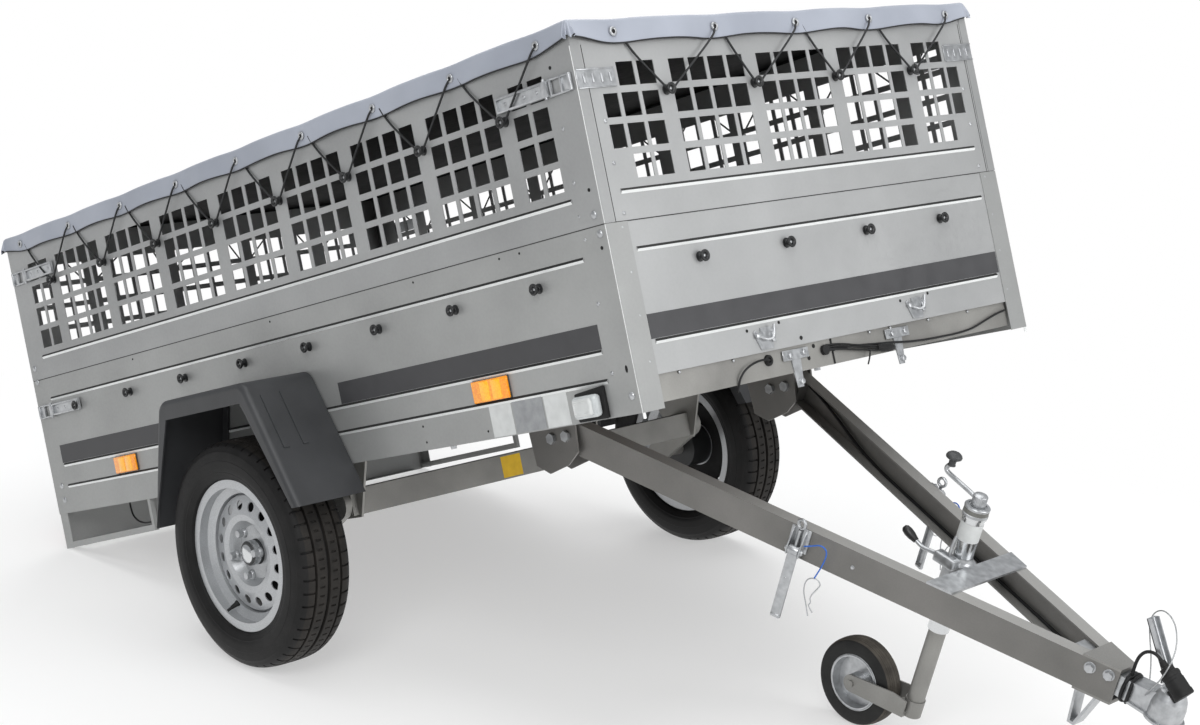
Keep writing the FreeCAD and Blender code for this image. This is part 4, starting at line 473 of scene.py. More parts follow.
# a profile of (radius, height) points, spun about Z
def spun(name, profile, steps):
    piece = extruded(name, [(radius, 0, height) for radius, height in profile])
    bpy.ops.mesh.spin(steps=steps, angle=2 * math.pi, center=(0, 0, 0), axis=(0, 0, 1))
    bpy.ops.mesh.select_all(action="SELECT")
    bpy.ops.mesh.remove_doubles(threshold=1e-6)
    bpy.ops.mesh.normals_make_consistent(inside=False)
    endEdit()
    return piece


# the far half of a profile that is the same on both sides
def mirrored(profile):
    return [(radius, -height) for radius, height in reversed(profile)]


# a flat outline of (x, y) points, extruded up by its thickness, its rims rounded
def plate(name, outline, thickness, rounded):
    piece = extruded(name, [(x, y, 0) for x, y in outline])
    bpy.ops.mesh.edge_face_add()
    bpy.ops.mesh.extrude_region_move(TRANSFORM_OT_translate={"value": (0, 0, thickness)})
    bpy.ops.mesh.select_all(action="SELECT")
    bpy.ops.mesh.normals_make_consistent(inside=False)
    endEdit()
    return bevelEdges(piece, rounded, lambda middle, run: abs(run.z) < 0.5, 1)


# a round curve along a smooth row of points
def roundCurve(name, points, radius, sides, steps, closed=False):
    bpy.ops.object.select_all(action="DESELECT")
    bpy.ops.curve.primitive_nurbs_path_add()
    piece = bpy.context.object
    piece.name = name
    curve = piece.data
    curve.splines.clear()
    curve.bevel_depth = radius
    curve.bevel_resolution = sides
    curve.use_fill_caps = True
    curve.resolution_u = steps
    spline = curve.splines.new("NURBS")
    spline.points.add(len(points) - 1)
    for point, place in zip(spline.points, points):
        point.co = (*place, 1)
    spline.use_cyclic_u = closed
    spline.order_u = 3
    spline.use_endpoint_u = not closed
    return piece


# the same as a mesh, for rods and wires that don't move
def rod(name, points, radius, sides=3, closed=False):
    roundCurve(name, points, radius, sides, 8, closed)
    bpy.ops.object.convert(target="MESH")
    return bpy.context.object


def cordCurve(name, points, radius, matrix, finish):
    piece = roundCurve(name, [matrix @ Vector(point) for point in points], radius, 4, 12)
    piece.data.materials.append(finishes[finish])
    return piece


def joined(name, parts):
    bpy.ops.object.select_all(action="DESELECT")
    for part in parts:
        part.select_set(True)
    bpy.context.view_layer.objects.active = parts[0]
    if len(parts) > 1:
        bpy.ops.object.join()
    piece = bpy.context.object
    piece.name = name
    return piece


# copies of one model, each with its own mesh, moved by its own matrix
def copies(model, places):
    parts = []
    for place in places:
        part = model.copy()
        part.data = model.data.copy()
        part.data.transform(place)
        bpy.context.scene.collection.objects.link(part)
        parts.append(part)
    bpy.data.objects.remove(model)
    return parts


def moved(piece, place):
    piece.data.transform(place)
    return piece


# a matrix that turns Z towards a direction and moves the origin to a spot
def aimed(spot, direction, spin=0.0):
    turn = Vector(direction).to_track_quat("Z", "Y").to_matrix().to_4x4()
    return Matrix.Translation(spot) @ turn @ Matrix.Rotation(spin, 4, "Z")


def paint(piece, finish):
    piece.data.materials.clear()
    piece.data.materials.append(finishes[finish])
    return piece


# moves a piece from its frame into the world and gives it its finish and the body it rides on
def settle(piece, body, matrix, finish=None, sharp=35):
    moved(piece, matrix)
    if finish:
        paint(piece, finish)
    select(piece)
    bpy.ops.object.shade_smooth_by_angle(angle=math.radians(sharp))
    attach(piece, body)
    return piece


# parts of one finish, joined into a piece of the box or of the drawbar
def onBox(name, parts, finish, sharp=35):
    return settle(joined(name, parts), "box", boxMatrix, finish, sharp)


def onBar(name, parts, finish, sharp=35):
    return settle(joined(name, parts), "drawbar", barMatrix, finish, sharp)


def applyModifier(piece, kind, **settings):
    select(piece)
    modifier = piece.modifiers.new(kind, kind)
    for name, value in settings.items():
        setattr(modifier, name, value)
    bpy.ops.object.modifier_apply(modifier=modifier.name)
    return piece


# domed rivet, hexagonal bolt on a washer and dark hole, each with its face at z 0 and its head towards +Z
def rivet(radius, height):
    return spun("rivet", [(0, height), (radius * 0.5, height * 0.88), (radius * 0.85, height * 0.5),
                          (radius, 0.0002), (radius, -0.0006)], 20)


def hexBolt(across, height, washer):
    head = addPrimitive("cylinder", "hexBolt", (0, 0, height / 2 + 0.0012), vertices=6,
                        radius=across / math.sqrt(3), depth=height)
    bevelEdges(head, across * 0.07, lambda middle, run: middle.z > height and abs(run.z) < 0.5, 2)
    collar = spun("washer", [(0, 0.0014), (washer * 0.96, 0.0014), (washer, 0.0008), (washer, -0.0004)], 28)
    return joined("hexBolt", [head, collar])


def darkHole(radius, sides=20):
    return addPrimitive("cylinder", "hole", (0, 0, 0.0002), vertices=sides, radius=radius, depth=0.0008)


# the cover: coated cloth laid over the cage, its skirt held down by eyelets and an elastic cord,
# which passes round the upper knobs
cover = {
    "halfLength": 1.2035, "halfWidth": 0.6485, "top": 0.7868, "bend": 0.007, "skirt": 0.052,
    "sag": 0.011, "thickness": 0.0012, "columns": 260, "rows": 150, "edgeShare": 0.3, "edgeBand": 0.075,
    "eyeletLevel": 0.757, "eyeletY": 0.6515, "frontEyelets": (-0.526, -0.229, 0.029, 0.282, 0.565),
    "cord": 0.0024, "knobNeck": 0.0055,
    "hem": 0.0017, "hemInset": 0.0015, "crease": 0.0026, "creaseReach": 0.08, "gather": 0.014,
    "pleat": 0.0030, "pleatReach": 0.035, "pleatWidth": 0.017,
}
knobs = {"levels": (0.286, 0.633), "sideCount": 8, "frontCount": 4}
sideEyelets = [box["middleX"] + box["pitch"] * step for step in range(-4, 5)]


# spaces the grid so that a share of its lines lie in the band near each edge
def bunched(share, half):
    band = cover["edgeBand"]
    edge = cover["edgeShare"]
    away = abs(share)
    if away < 1 - edge:
        return share * (half - band) / (1 - edge)
    return math.copysign(half - band + band * (away - 1 + edge) / edge, share)


def cloudAt(x, y, z):
    return clouds.noise(Vector((x, y, z)))


# how far a place along the hem is from the nearest eyelet, and 0 there to 1 midway
def fromEyelet(lengthwise, x, y):
    place = x + box["middleX"] if lengthwise else y
    spots = sideEyelets if lengthwise else cover["frontEyelets"]
    away = place - min(spots, key=lambda spot: abs(spot - place))
    return away, 0.5 - 0.5 * math.cos(math.pi * min(abs(away) / (0.5 * box["pitch"]), 1))


def drape(p, q):
    bend = cover["bend"]
    quarter = bend * math.pi / 2
    reachX = cover["halfLength"] - bend
    reachY = cover["halfWidth"] - bend
    overX = max(abs(p) - reachX, 0)
    overY = max(abs(q) - reachY, 0)
    depth = max(overX, overY)
    x = max(min(p, reachX), -reachX)
    y = max(min(q, reachY), -reachY)
    crown = (1 - (x / reachX) ** 2) * (1 - (y / reachY) ** 2)
    fold = cloudAt(x * 2.2, y * 5.0, 0.3) * 0.0035 + cloudAt(x * 7.0, y * 11.0, 1.7) * 0.0014
    edge = min(reachX - abs(x), reachY - abs(y))
    z = cover["top"] - cover["sag"] * crown ** 0.6 + fold * (0.25 + 0.75 * min(edge / 0.10, 1))
    lengthwise = overY > overX if depth > 0 else reachY - abs(y) < reachX - abs(x)
    away, between = fromEyelet(lengthwise, x, y)
    if edge < cover["creaseReach"]:  # shallow valleys run in from each eyelet
        z -= cover["crease"] * (1 - between) ** 2 * (1 - edge / cover["creaseReach"])
    if depth <= 0:
        return x, y, z
    corner = overX > 0 and overY > 0
    angle = 0 if overX > 0 else math.pi / 2
    if corner:
        angle = math.pi / 4 * (overY / overX if overX >= overY else 2 - overX / overY)
    out = bend * math.sin(depth / bend) if depth < quarter else bend
    down = bend * (1 - math.cos(depth / bend)) if depth < quarter else bend + depth - quarter
    share = min(max(depth - quarter * 0.5, 0) / cover["skirt"], 1)
    bulge = share * (0.0012 + 0.0078 * between) * (1.25 - 0.5 * share)
    pleats = cover["pleat"] * math.exp(-(away / cover["pleatReach"]) ** 2)
    bulge += pleats * math.cos(2 * math.pi * away / cover["pleatWidth"]) * share * (1.15 - share)
    place = x if lengthwise else y
    bulge += share * 0.0045 * cloudAt(place * 13, depth * 16, 4.1 if lengthwise else 6.3)
    down -= share * (0.0030 * between + 0.002 * cloudAt(place * 9, 2.0, 0.4))
    toCorner = reachX - abs(x) if lengthwise else reachY - abs(y)
    down -= share * cover["gather"] * math.exp(-(toCorner / 0.075) ** 2)  # the hem is drawn up at the corners
    if corner:  # gathered cloth at the corner
        bulge += share * (0.006 + 0.004 * math.sin(angle * 14))
        down -= share * 0.004 * math.sin(angle * 9)
    alongX = math.copysign(math.cos(angle), p)
    alongY = math.copysign(math.sin(angle), q)
    return x + alongX * (out + bulge), y + alongY * (out + bulge), z - down


def addCover():
    skirt = cover["skirt"] + cover["bend"] * (math.pi / 2 - 1)
    halfP = cover["halfLength"] - cover["bend"] + skirt
    halfQ = cover["halfWidth"] - cover["bend"] + skirt
    cloth = addPrimitive("grid", "cover_cloth", x_subdivisions=cover["columns"], y_subdivisions=cover["rows"],
                         size=2)
    flat = [(bunched(vertex.co.x, halfP), bunched(vertex.co.y, halfQ)) for vertex in cloth.data.vertices]
    for vertex, (p, q) in zip(cloth.data.vertices, flat):
        x, y, z = drape(p, q)
        vertex.co = (x + box["middleX"], y, z)
    while cloth.data.uv_layers:
        cloth.data.uv_layers.remove(cloth.data.uv_layers[0])
    layer = cloth.data.uv_layers.new(name="cloth")
    for loop in cloth.data.loops:
        layer.data[loop.index].uv = flat[loop.vertex_index]
    cloth.data.materials.append(finishes["cloth"])
    # the second material, on the cloth's underside, is painted shade
    cloth.data.materials.append(finishes["undersideShade"])
    applyModifier(cloth, "SOLIDIFY", thickness=cover["thickness"], offset=-1, material_offset=1)
    settle(cloth, "box", boxMatrix, None, 80)
    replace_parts(cloth, "cover")
    # eyelets: rolled zinc rings, pressed through the skirt
    places = [aimed((x, side * cover["eyeletY"], cover["eyeletLevel"]), (0, side, 0))
              for side in (-1, 1) for x in sideEyelets]
    places += [aimed((box["middleX"] + way * (cover["halfLength"] + 0.0032), y, cover["eyeletLevel"]),
                     (way, 0, 0))
               for way in (-1, 1) for y in cover["frontEyelets"]]
    ring = spun("eyelet", [(0.0045, -0.0012), (0.0045, 0.001), (0.0062, 0.0022), (0.0085, 0.0016),
                           (0.0098, 0.0002), (0.0098, -0.0012)], 28)
    rings = onBox("cover_eyelets", copies(ring, places), "zinc", 60)
    dark = addPrimitive("cylinder", "eyeletHole", (0, 0, 0.0004), vertices=20, radius=0.0047, depth=0.001)
    holes = onBox("cover_eyelet_holes", copies(dark, places), "shadow")
    # the elastic cord runs from each eyelet round the knob below it and back under the skirt
    level = knobs["levels"][1] - cover["knobNeck"] - cover["cord"]
    face = box["half"] + 0.008
    runs = []
    for side in (-1, 1):
        for x in sideEyelets[1:]:
            knob = x - box["pitch"] / 2
            rear = x - box["pitch"]
            route = [(x, 0.6485, 0.757), (x - 0.004, 0.6548, 0.752), (x - 0.02, 0.6585, 0.733),
                     (knob + 0.010, face, level + 0.010), (knob, face, level - 0.001),
                     (knob - 0.010, face, level + 0.010), (rear + 0.036, 0.6485, 0.722),
                     (rear + 0.022, 0.6475, 0.752)]
            runs.append([(px, side * py, pz) for px, py, pz in route])
    for way in (-1, 1):
        for index in range(knobs["frontCount"]):
            knob = (index - (knobs["frontCount"] - 1) / 2) * box["frontPitch"]
            first, last = cover["frontEyelets"][index], cover["frontEyelets"][index + 1]
            route = [(-0.002, first + 0.024, 0.752), (-0.001, first + 0.036, 0.722),
                     (0.0075, knob - 0.010, level + 0.010), (0.0075, knob, level - 0.001),
                     (0.0075, knob + 0.010, level + 0.010), (0.010, last - 0.02, 0.733),
                     (0.0065, last - 0.004, 0.752), (0, last, 0.757)]
            runs.append([(box["middleX"] + way * (cover["halfLength"] + px), py, pz) for px, py, pz in route])
    # and a thinner one runs in the hem all the way round
    hem = []
    for step in range(61):
        along = (step / 30 - 1) * (cover["halfLength"] - 0.012)
        across = (step / 30 - 1) * (cover["halfWidth"] - 0.012)
        hem.append([drape(along, way * (halfQ - cover["hemInset"])) for way in (-1, 1)]
                   + [drape(way * (halfP - cover["hemInset"]), across) for way in (-1, 1)])
    loops = [[(x + box["middleX"], y, z - 0.0012) for x, y, z in line] for line in zip(*hem)]
    cords = [rod("run", points, cover["cord"], 2) for points in runs]
    cords += [rod("hem", line, cover["hem"], 2) for line in loops]
    elastic = onBox("cover_elastic", cords, "braid", 60)


addCover()
print("cover made")


# grey tapes along the sides and the front, blank, a hair proud of the sheet
tapes = {"low": 0.139, "high": 0.189, "thick": 0.0006, "sideRear": 0.077, "sideFront": 2.318,
         "frontHalf": 0.583, "guardRear": 0.842, "guardFront": 1.42}


# a block on a side of the box, from x0 to x1 and z0 to z1, that stands between two distances off the sheet
def upright(side, x0, x1, z0, z1, near, far, rounded=0.0, segments=2):
    faces = sorted((side * (box["half"] + near), side * (box["half"] + far)))
    return block("slab", (x0, faces[0], z0), (x1, faces[1], z1), rounded, segments)


def addTapes():
    low, high, thick = tapes["low"], tapes["high"], tapes["thick"]
    parts = []
    for side in (-1, 1):
        for start, end in ((tapes["sideRear"], tapes["guardRear"]),
                           (tapes["guardFront"], tapes["sideFront"])):
            parts.append(upright(side, start, end, low, high, 0, thick))
    parts.append(block("tape", (box["front"], -tapes["frontHalf"], low),
                       (box["front"] + thick, tapes["frontHalf"], high)))
    onBox("box_tapes", parts, "stripe")


# pressed beads: the flat crest of each is drawn together to an edge, on a merged copy of the sheet
beads = {"proud": 0.0024, "crest": 0.0036, "panel": (0.320, 0.133), "sidePanel": (0.320, 0.133, 0.074),
         "cage": (0.4385,)}


def addBeads():
    sheets = (("side_panel_right", "sidePanel", "sheet"), ("side_panel_left", "sidePanel", "sheet"),
              ("mesh_side_right", "cage", "mesh"), ("mesh_side_left", "cage", "mesh"),
              ("front_panel", "panel", "frontSheet"), ("mesh_front", "cage", "frontSheet"))
    for name, group, finish in sheets:
        piece = nodes[name].copy()
        piece.data = nodes[name].data.copy()
        piece.name = name + "_beaded"
        bpy.context.scene.collection.objects.link(piece)
        piece.data.transform(boxMatrix.inverted())
        select(piece)
        bpy.ops.mesh.customdata_custom_splitnormals_clear()
        bpy.ops.object.mode_set(mode="EDIT")
        bpy.ops.mesh.select_all(action="SELECT")
        bpy.ops.mesh.remove_doubles(threshold=1e-5)
        endEdit()
        for level in beads[group]:
            pick(piece, lambda middle, normal: abs(middle.z - level) < beads["crest"]
                 and max(abs(middle.y) - box["half"], middle.x - box["front"]) > beads["proud"])
            bpy.ops.transform.resize(value=(1, 1, 0.05), center_override=(0, 0, level))
            endEdit()
        settle(piece, "box", boxMatrix, finish, 20)
        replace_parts(piece, name)


# joints of the sheets: dark strips of painted shade in the seam under the cage and along the edge of each side's
# front flange, and bright strips of painted highlight on the corner bends
seams = {"level": 0.3785, "half": 0.0011, "flange": 0.0295, "line": 0.0014, "cageTop": 0.735,
         "wrapFoot": -0.012, "wrap": 0.0072}


def addSeams():
    dark, bright = [], []
    low, high, front = seams["level"] - seams["half"], seams["level"] + seams["half"], box["front"]
    for side in (-1, 1):
        dark.append(upright(side, 0.004, front - 0.003, low, high, -0.0012, 0.0003))
        dark.append(upright(side, front + 0.0001, front + 0.0006, high, seams["cageTop"],
                            -seams["flange"] - seams["line"], -seams["flange"]))
        for foot, top in ((seams["wrapFoot"], low), (high, seams["cageTop"])):
            bright.append(upright(side, front - 0.0020, front + 0.0008, foot, top, -seams["wrap"], 0.0006,
                                  0.0012, 3))
    dark.append(block("seam", (front - 0.0012, 0.003 - box["half"], low),
                      (front + 0.0004, box["half"] - 0.003, high)))
    onBox("sheet_seams", dark, "seam")
    onBox("corner_bends", bright, "edge", 50)


# rivets, bolts, open holes and slots of the box: places on a side (x, z), on the front (|y|, z),
# and y alone for the rivets of the sill
fixings = {
    "sideRivets": ((2.3335, 0.5822), (2.3335, 0.4728), (2.3328, 0.2283), (2.3325, 0.088)),
    "sideBolts": ((2.3764, 0.0367), (2.3721, 0.4008), (2.3782, 0.3615), (0.0448, 0.0773), (0.0458, 0.0375),
                  (0.0249, 0.4123), (0.0238, 0.374)),
    "sideHoles": ((2.3315, 0.7061), (2.3722, 0.451), (2.3759, 0.3338)),
    "pinHoles": ((1.7016, 0.0536), (1.7041, 0.0178), (2.0653, 0.3665), (2.1308, 0.3665), (1.7676, 0.3665),
                 (1.2, 0.3665), (0.55, 0.3665), (1.92, 0.018)),
    "smallRivets": ((2.3325, 0.3578), (2.3286, 0.4051)),
    "sideSlots": ((2.3763, 0.0909),),
    "frontRivets": ((0.5885, 0.58), (0.5885, 0.4952), (0.5885, 0.3943), (0.6015, 0.3674), (0.6015, 0.2768),
                    (0.6015, 0.1897), (0.6002, 0.0964)),
    "frontHoles": ((0.6338, 0.0374), (0.613, 0.0341), (0.593, 0.0372)),
    "sillRivets": (-0.52, -0.36, 0.0814, 0.1543, 0.292, 0.44),
}


def addFixings():
    spots = {"rivet": [], "bolt": [], "hole": [], "pinhole": [], "smallRivet": [], "slot": []}
    sideGroups = (("sideRivets", "rivet"), ("sideBolts", "bolt"), ("sideHoles", "hole"),
                  ("pinHoles", "pinhole"), ("smallRivets", "smallRivet"), ("sideSlots", "slot"))
    for side in (-1, 1):
        for group, kind in sideGroups:
            spots[kind] += [aimed((x, side * box["half"], z), (0, side, 0)) for x, z in fixings[group]]
        spots["rivet"] += [aimed((box["front"] + 0.0002, side * y, z), (1, 0, 0))
                           for y, z in fixings["frontRivets"]]
        spots["pinhole"] += [aimed((box["front"] + 0.0002, side * y, z), (1, 0, 0))
                             for y, z in fixings["frontHoles"]]
    spots["smallRivet"] += [aimed((box["front"] - 0.0035, y, 0.064), (1, 0, 0))
                            for y in fixings["sillRivets"]]
    slot = darkHole(0.0034)
    pick(slot, lambda middle, normal: True)
    bpy.ops.transform.resize(value=(1, 2.2, 1), center_override=(0, 0, 0))
    endEdit()
    models = {
        "rivet": (rivet(0.0045, 0.0022), "zinc"), "smallRivet": (rivet(0.0036, 0.0017), "zinc"),
        "bolt": (rivet(0.0085, 0.0046), "zinc"), "slot": (slot, "shadow"),
        "hole": (darkHole(0.0038), "shadow"), "pinhole": (darkHole(0.0025, 16), "shadow"),
    }
    for kind, (model, finish) in models.items():
        onBox("box_" + kind + "s", copies(model, spots[kind]), finish, 40)


# lashing knobs: hollow black heads on short necks, each with its screw sunk in the middle
def addKnobs():
    places = []
    for side in (-1, 1):
        for index in range(knobs["sideCount"]):
            x = box["middleX"] + box["pitch"] * (index - (knobs["sideCount"] - 1) / 2)
            places += [aimed((x, side * box["half"], z), (0, side, 0)) for z in knobs["levels"]]
    for index in range(knobs["frontCount"]):
        y = box["frontPitch"] * (index - (knobs["frontCount"] - 1) / 2)
        places += [aimed((box["front"], y, z), (1, 0, 0)) for z in knobs["levels"]]
        places.append(aimed((0.002, y, knobs["levels"][1]), (-1, 0, 0)))
    head = spun("knob", [(0, 0.0138), (0.0042, 0.0138), (0.0052, 0.0160), (0.0070, 0.0182), (0.0092, 0.0192),
                         (0.0112, 0.0188), (0.0124, 0.0172), (0.0125, 0.0152), (0.0112, 0.0132),
                         (0.0080, 0.0116), (0.0058, 0.0100), (0.0055, 0.0050), (0.0072, 0.0034),
                         (0.0106, 0.0024), (0.0110, 0.0002)], 32)
    heads = onBox("knob_heads", copies(head, places), "knob", 50)
    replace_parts(heads, "lashing_knobs")
    screw = spun("knobScrew", [(0, 0.0152), (0.0024, 0.0150), (0.0034, 0.0143), (0.0036, 0.0134)], 20)
    onBox("knob_screws", copies(screw, places), "zinc", 50)


# overcentre fasteners: x runs from the corner along the side, z stands off the sheet
clasp = {"length": 0.232, "half": 0.0165, "level": 0.667, "gateLevel": 0.289, "strap": 0.106}


def claspModel():
    half = clasp["half"]
    parts = [block("base", (0.068, -half * 0.8, 0), (clasp["length"] - 0.008, half * 0.8, 0.0018), 0.0006, 1)]
    lever = block("lever", (0.086, -half, 0.0018), (clasp["length"], half, 0.0115), 0.0022, 2,
                  lambda middle, run: abs(run.z) < 0.5)
    parts.append(insetFaces(lever, lambda middle, normal: normal.z > 0.9 and middle.z > 0.0114,
                            (0.0026, 0), (0.0008, -0.0062)))
    parts += copies(rivet(0.0042, 0.0022),
                    [Matrix.Translation((x, 0, 0.0054)) for x in (0.108, 0.148, 0.208)])
    parts.append(block("pivot", (0.070, -half * 1.02, 0.0018), (0.087, half * 1.02, 0.0125), 0.0028, 2))
    parts.append(addPrimitive("cylinder", "pin", (0.0785, 0, 0.0092), (math.pi / 2, 0, 0), vertices=20,
                              radius=0.0036, depth=half * 2.5))
    for y in (-1, 1):
        parts.append(block("bar", (0.010, y * half * 0.98 - 0.0022, 0.0018),
                           (0.076, y * half * 0.98 + 0.0022, 0.0068), 0.0009))
    for x0, x1 in ((0.0625, 0.0680), (0.0300, 0.0355)):
        parts.append(block("bar", (x0, -half, 0.0018), (x1, half, 0.0072), 0.0009))
    parts.append(block("loopPlate", (0.0090, -half * 0.92, 0.0020), (0.0315, half * 0.92, 0.0042), 0.0008))
    parts.append(block("hook", (0.0030, -half * 1.1, 0.0004), (0.0100, half * 1.1, 0.0094), 0.0022, 3))
    return joined("clasp", parts)


def strapModel():
    half = clasp["half"] * 1.12
    reach = clasp["strap"]
    parts = [block("strap", (0.0006, -half, 0), (reach, half, 0.0022), 0.0006, 1)]
    for y in (-1, 1):
        parts.append(block("edge", (0.0006, y * half - 0.0014, 0.0),
                           (reach - 0.002, y * half + 0.0014, 0.0042), 0.001))
    for index in range(4):
        x = 0.020 + index * (reach - 0.034) / 3
        parts.append(block("rib", (x - 0.0036, -half * 0.52, 0.0015), (x + 0.0036, half * 0.52, 0.0046),
                           0.0017, 3))
    return joined("strap", parts)


def axes(spot, along, out):
    along, out = Vector(along), Vector(out)
    turn = Matrix((along, out.cross(along), out)).transposed().to_4x4()
    turn.translation = spot
    return turn


def addClasps():
    places, straps = [], []
    for side in (-1, 1):
        y = side * box["half"]
        out = (0, side, 0)
        places.append(axes((box["front"] - 0.006, y, clasp["level"]), (-1, 0, 0), out))
        places.append(axes((0.010, y, clasp["level"]), (1, 0, 0), out))
        places.append(axes((0.010, y, clasp["gateLevel"]), (1, 0, 0), out))
        straps.append(axes((box["front"] + 0.0004, y, clasp["level"]), (0, -side, 0), (1, 0, 0)))
    made = onBox("clasp_levers", copies(claspModel(), places), "zinc", 40)
    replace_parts(made, "corner_clasps")
    onBox("clasp_straps", copies(strapModel(), straps), "zinc", 40)


# the lenses and the blank labels on the sides: x0, x1, z0, z1
lights = {
    "reflectors": ((1.900, 2.020, 0.080, 0.127), (0.362, 0.474, 0.081, 0.125)),
    "lamp": (2.226, 2.298, 0.009, 0.055),
    "labels": (("paper", 1.937, 2.009, 0.002, 0.0715), ("foil", 2.0135, 2.1095, 0.003, 0.0705),
               ("paper", 2.1145, 2.187, 0.002, 0.0715)),
}


def addLights():
    lenses, bars, backs = [], [], []
    for side in (-1, 1):
        for x0, x1, z0, z1 in lights["reflectors"]:
            backs.append(upright(side, x0 - 0.001, x1 + 0.001, z0 - 0.001, z1 + 0.001, 0, 0.0026, 0.001))
            lenses.append(upright(side, x0, x1, z0, z1, 0.0020, 0.0075, 0.0026, 3))
            for share in (0.36, 0.68):
                middle = x0 + (x1 - x0) * share
                bars.append(upright(side, middle - 0.015, middle + 0.015, z0 + 0.003, z1 - 0.003,
                                    0.0070, 0.0082, 0.0006))
    lens = onBox("reflector_lenses", lenses, "amber", 50)
    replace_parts(lens, "side_reflectors")
    onBox("reflector_bars", bars, "brightAmber", 50)
    onBox("reflector_backs", backs, "plastic", 50)
    for number, (finish, x0, x1, z0, z1) in enumerate(lights["labels"]):
        onBox(f"blank_label_{number}", [upright(-1, x0, x1, z0, z1, 0, 0.0005)], finish)
    pads, bodies, rims = [], [], []
    x0, x1, z0, z1 = lights["lamp"]
    for side in (-1, 1):
        pad = upright(side, x0 - 0.008, x1 + 0.008, z0 - 0.007, z1 + 0.006, 0, 0.009, 0.003)
        pick(pad, lambda middle, normal: middle.x > x1 and middle.z > z1 - 0.004)
        bpy.ops.transform.translate(value=(0.0, 0, 0.0075))
        endEdit()
        pads.append(pad)
        bodies.append(upright(side, x0, x1, z0, z1, 0.008, 0.030, 0.009, 4))
        front = upright(side, x0 + 0.010, x1 - 0.008, z0 + 0.005, z1 - 0.005, 0.026, 0.037, 0.006, 3)
        rims.append(insetFaces(front, lambda middle, normal: normal.y * side > 0.95,
                               (0.002, 0), (0.002, -0.002)))
    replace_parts(onBox("lamp_pads", pads, "rubber", 40), "front_lamp_pads")
    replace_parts(onBox("lamp_bodies", bodies, "lens", 50), "front_lamps")
    onBox("lamp_fronts", rims, "paper", 40)


# lashing hooks on the front panel: a pressed plate and a bar that stands up at its far end,
# with two holes by each
hooks = {"middles": (-0.262, 0.248), "level": 0.096, "holes": ((-0.046, 0.022), (0.055, 0.027))}


def addHooks():
    plates, dots = [], []
    for middle in hooks["middles"]:
        spot = (box["front"] + 0.0003, middle, hooks["level"])
        base = plate("hookPlate", [(-0.030, 0.016), (-0.022, -0.004), (-0.014, -0.023), (0.014, -0.023),
                                   (0.022, -0.004), (0.044, 0.018), (0.036, 0.022), (0.012, 0.008),
                                   (-0.012, 0.008), (-0.022, 0.020)],
                     0.0028, 0.0007)
        bar = rod("hookBar", [(-0.020, 0.010, 0.002), (-0.008, -0.002, 0.010), (0.010, -0.004, 0.014),
                              (0.017, 0.004, 0.016), (0.021, 0.026, 0.017)], 0.0032)
        knuckle = block("knuckle", (-0.028, 0.002, 0.0008), (-0.006, 0.014, 0.0092), 0.003, 2)
        flange = block("flange", (0.020, -0.010, 0.0008), (0.032, 0.012, 0.0072), 0.0024, 2)
        model = joined("hook", [base, bar, knuckle, flange])
        plates += copies(model, [axes(spot, (0, 1, 0), (1, 0, 0))])
        for y, z in hooks["holes"]:
            dots.append(aimed((box["front"] + 0.0002, middle + y, hooks["level"] + z), (1, 0, 0)))
    onBox("lashing_hooks", plates, "zinc", 40)
    onBox("hook_holes", copies(darkHole(0.0034, 16), dots), "shadow", 40)


addTapes()
addBeads()
addSeams()
addFixings()
addKnobs()
addClasps()
addLights()
addHooks()
print("box fittings made")


# 155/70 R13 tyre: (radius, height along the axle) from the bead to the middle of the tread
tyre = {
    "wall": [(0.1662, 0.0560), (0.1745, 0.0600), (0.1838, 0.0606), (0.1862, 0.0672), (0.1930, 0.0718),
             (0.2000, 0.0742), (0.2008, 0.0750), (0.2036, 0.0752), (0.2044, 0.0758), (0.2150, 0.0770),
             (0.2290, 0.0766), (0.2298, 0.0758), (0.2400, 0.0748), (0.2500, 0.0722), (0.2508, 0.0712),
             (0.2576, 0.0680)],
    "shoulder": [(0.2622, 0.0648), (0.2662, 0.0600), (0.2690, 0.0545), (0.2708, 0.0485), (0.2718, 0.0420)],
    "grooves": [(0.2722, 0.0382), (0.2658, 0.0370), (0.2658, 0.0330), (0.2728, 0.0318)],
    "rib": [(0.2731, 0.0250), (0.2733, 0.0180), (0.2734, 0.0110), (0.2734, 0.0046)],
    "middle": [(0.2664, 0.0032), (0.2664, -0.0032)],
    "steps": 312, "treadHalf": 0.052, "treadFoot": 0.2664,
}
# cuts across the shoulder and the two middle ribs: the band's heights, its least radius, one cut in
# so many steps, the first of them on the far side, and the inset's width and depth
treadCuts = ((0.0400, 0.0630, 0.258, 6, 3, 0.0011, -0.0042), (0.0105, 0.0255, 0.270, 4, 2, 0.0014, -0.0034))


def segment(middle):
    return int(math.floor((math.atan2(middle.y, middle.x) / (2 * math.pi)) % 1 * tyre["steps"]))


def addTyre(side, body, matrix):
    half = tyre["wall"] + tyre["shoulder"] + tyre["grooves"] + tyre["rib"]
    piece = spun(f"tyre_{side}_dressed", half + tyre["middle"] + mirrored(half), tyre["steps"])
    for low, high, least, every, first, width, depth in treadCuts:
        insetFaces(piece, lambda middle, normal: low < abs(middle.z) < high and middle.xy.length > least
                   and segment(middle) % every == (0 if middle.z > 0 else first), (width, depth))
    paint(piece, "tyre")
    piece.data.materials.append(finishes["tread"])
    for polygon in piece.data.polygons:
        onTread = polygon.center.xy.length > tyre["treadFoot"] and abs(polygon.center.z) < tyre["treadHalf"]
        polygon.material_index = 1 if onTread else 0
    settle(piece, body, matrix, None, 32)
    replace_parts(piece, f"tyre_{side}")


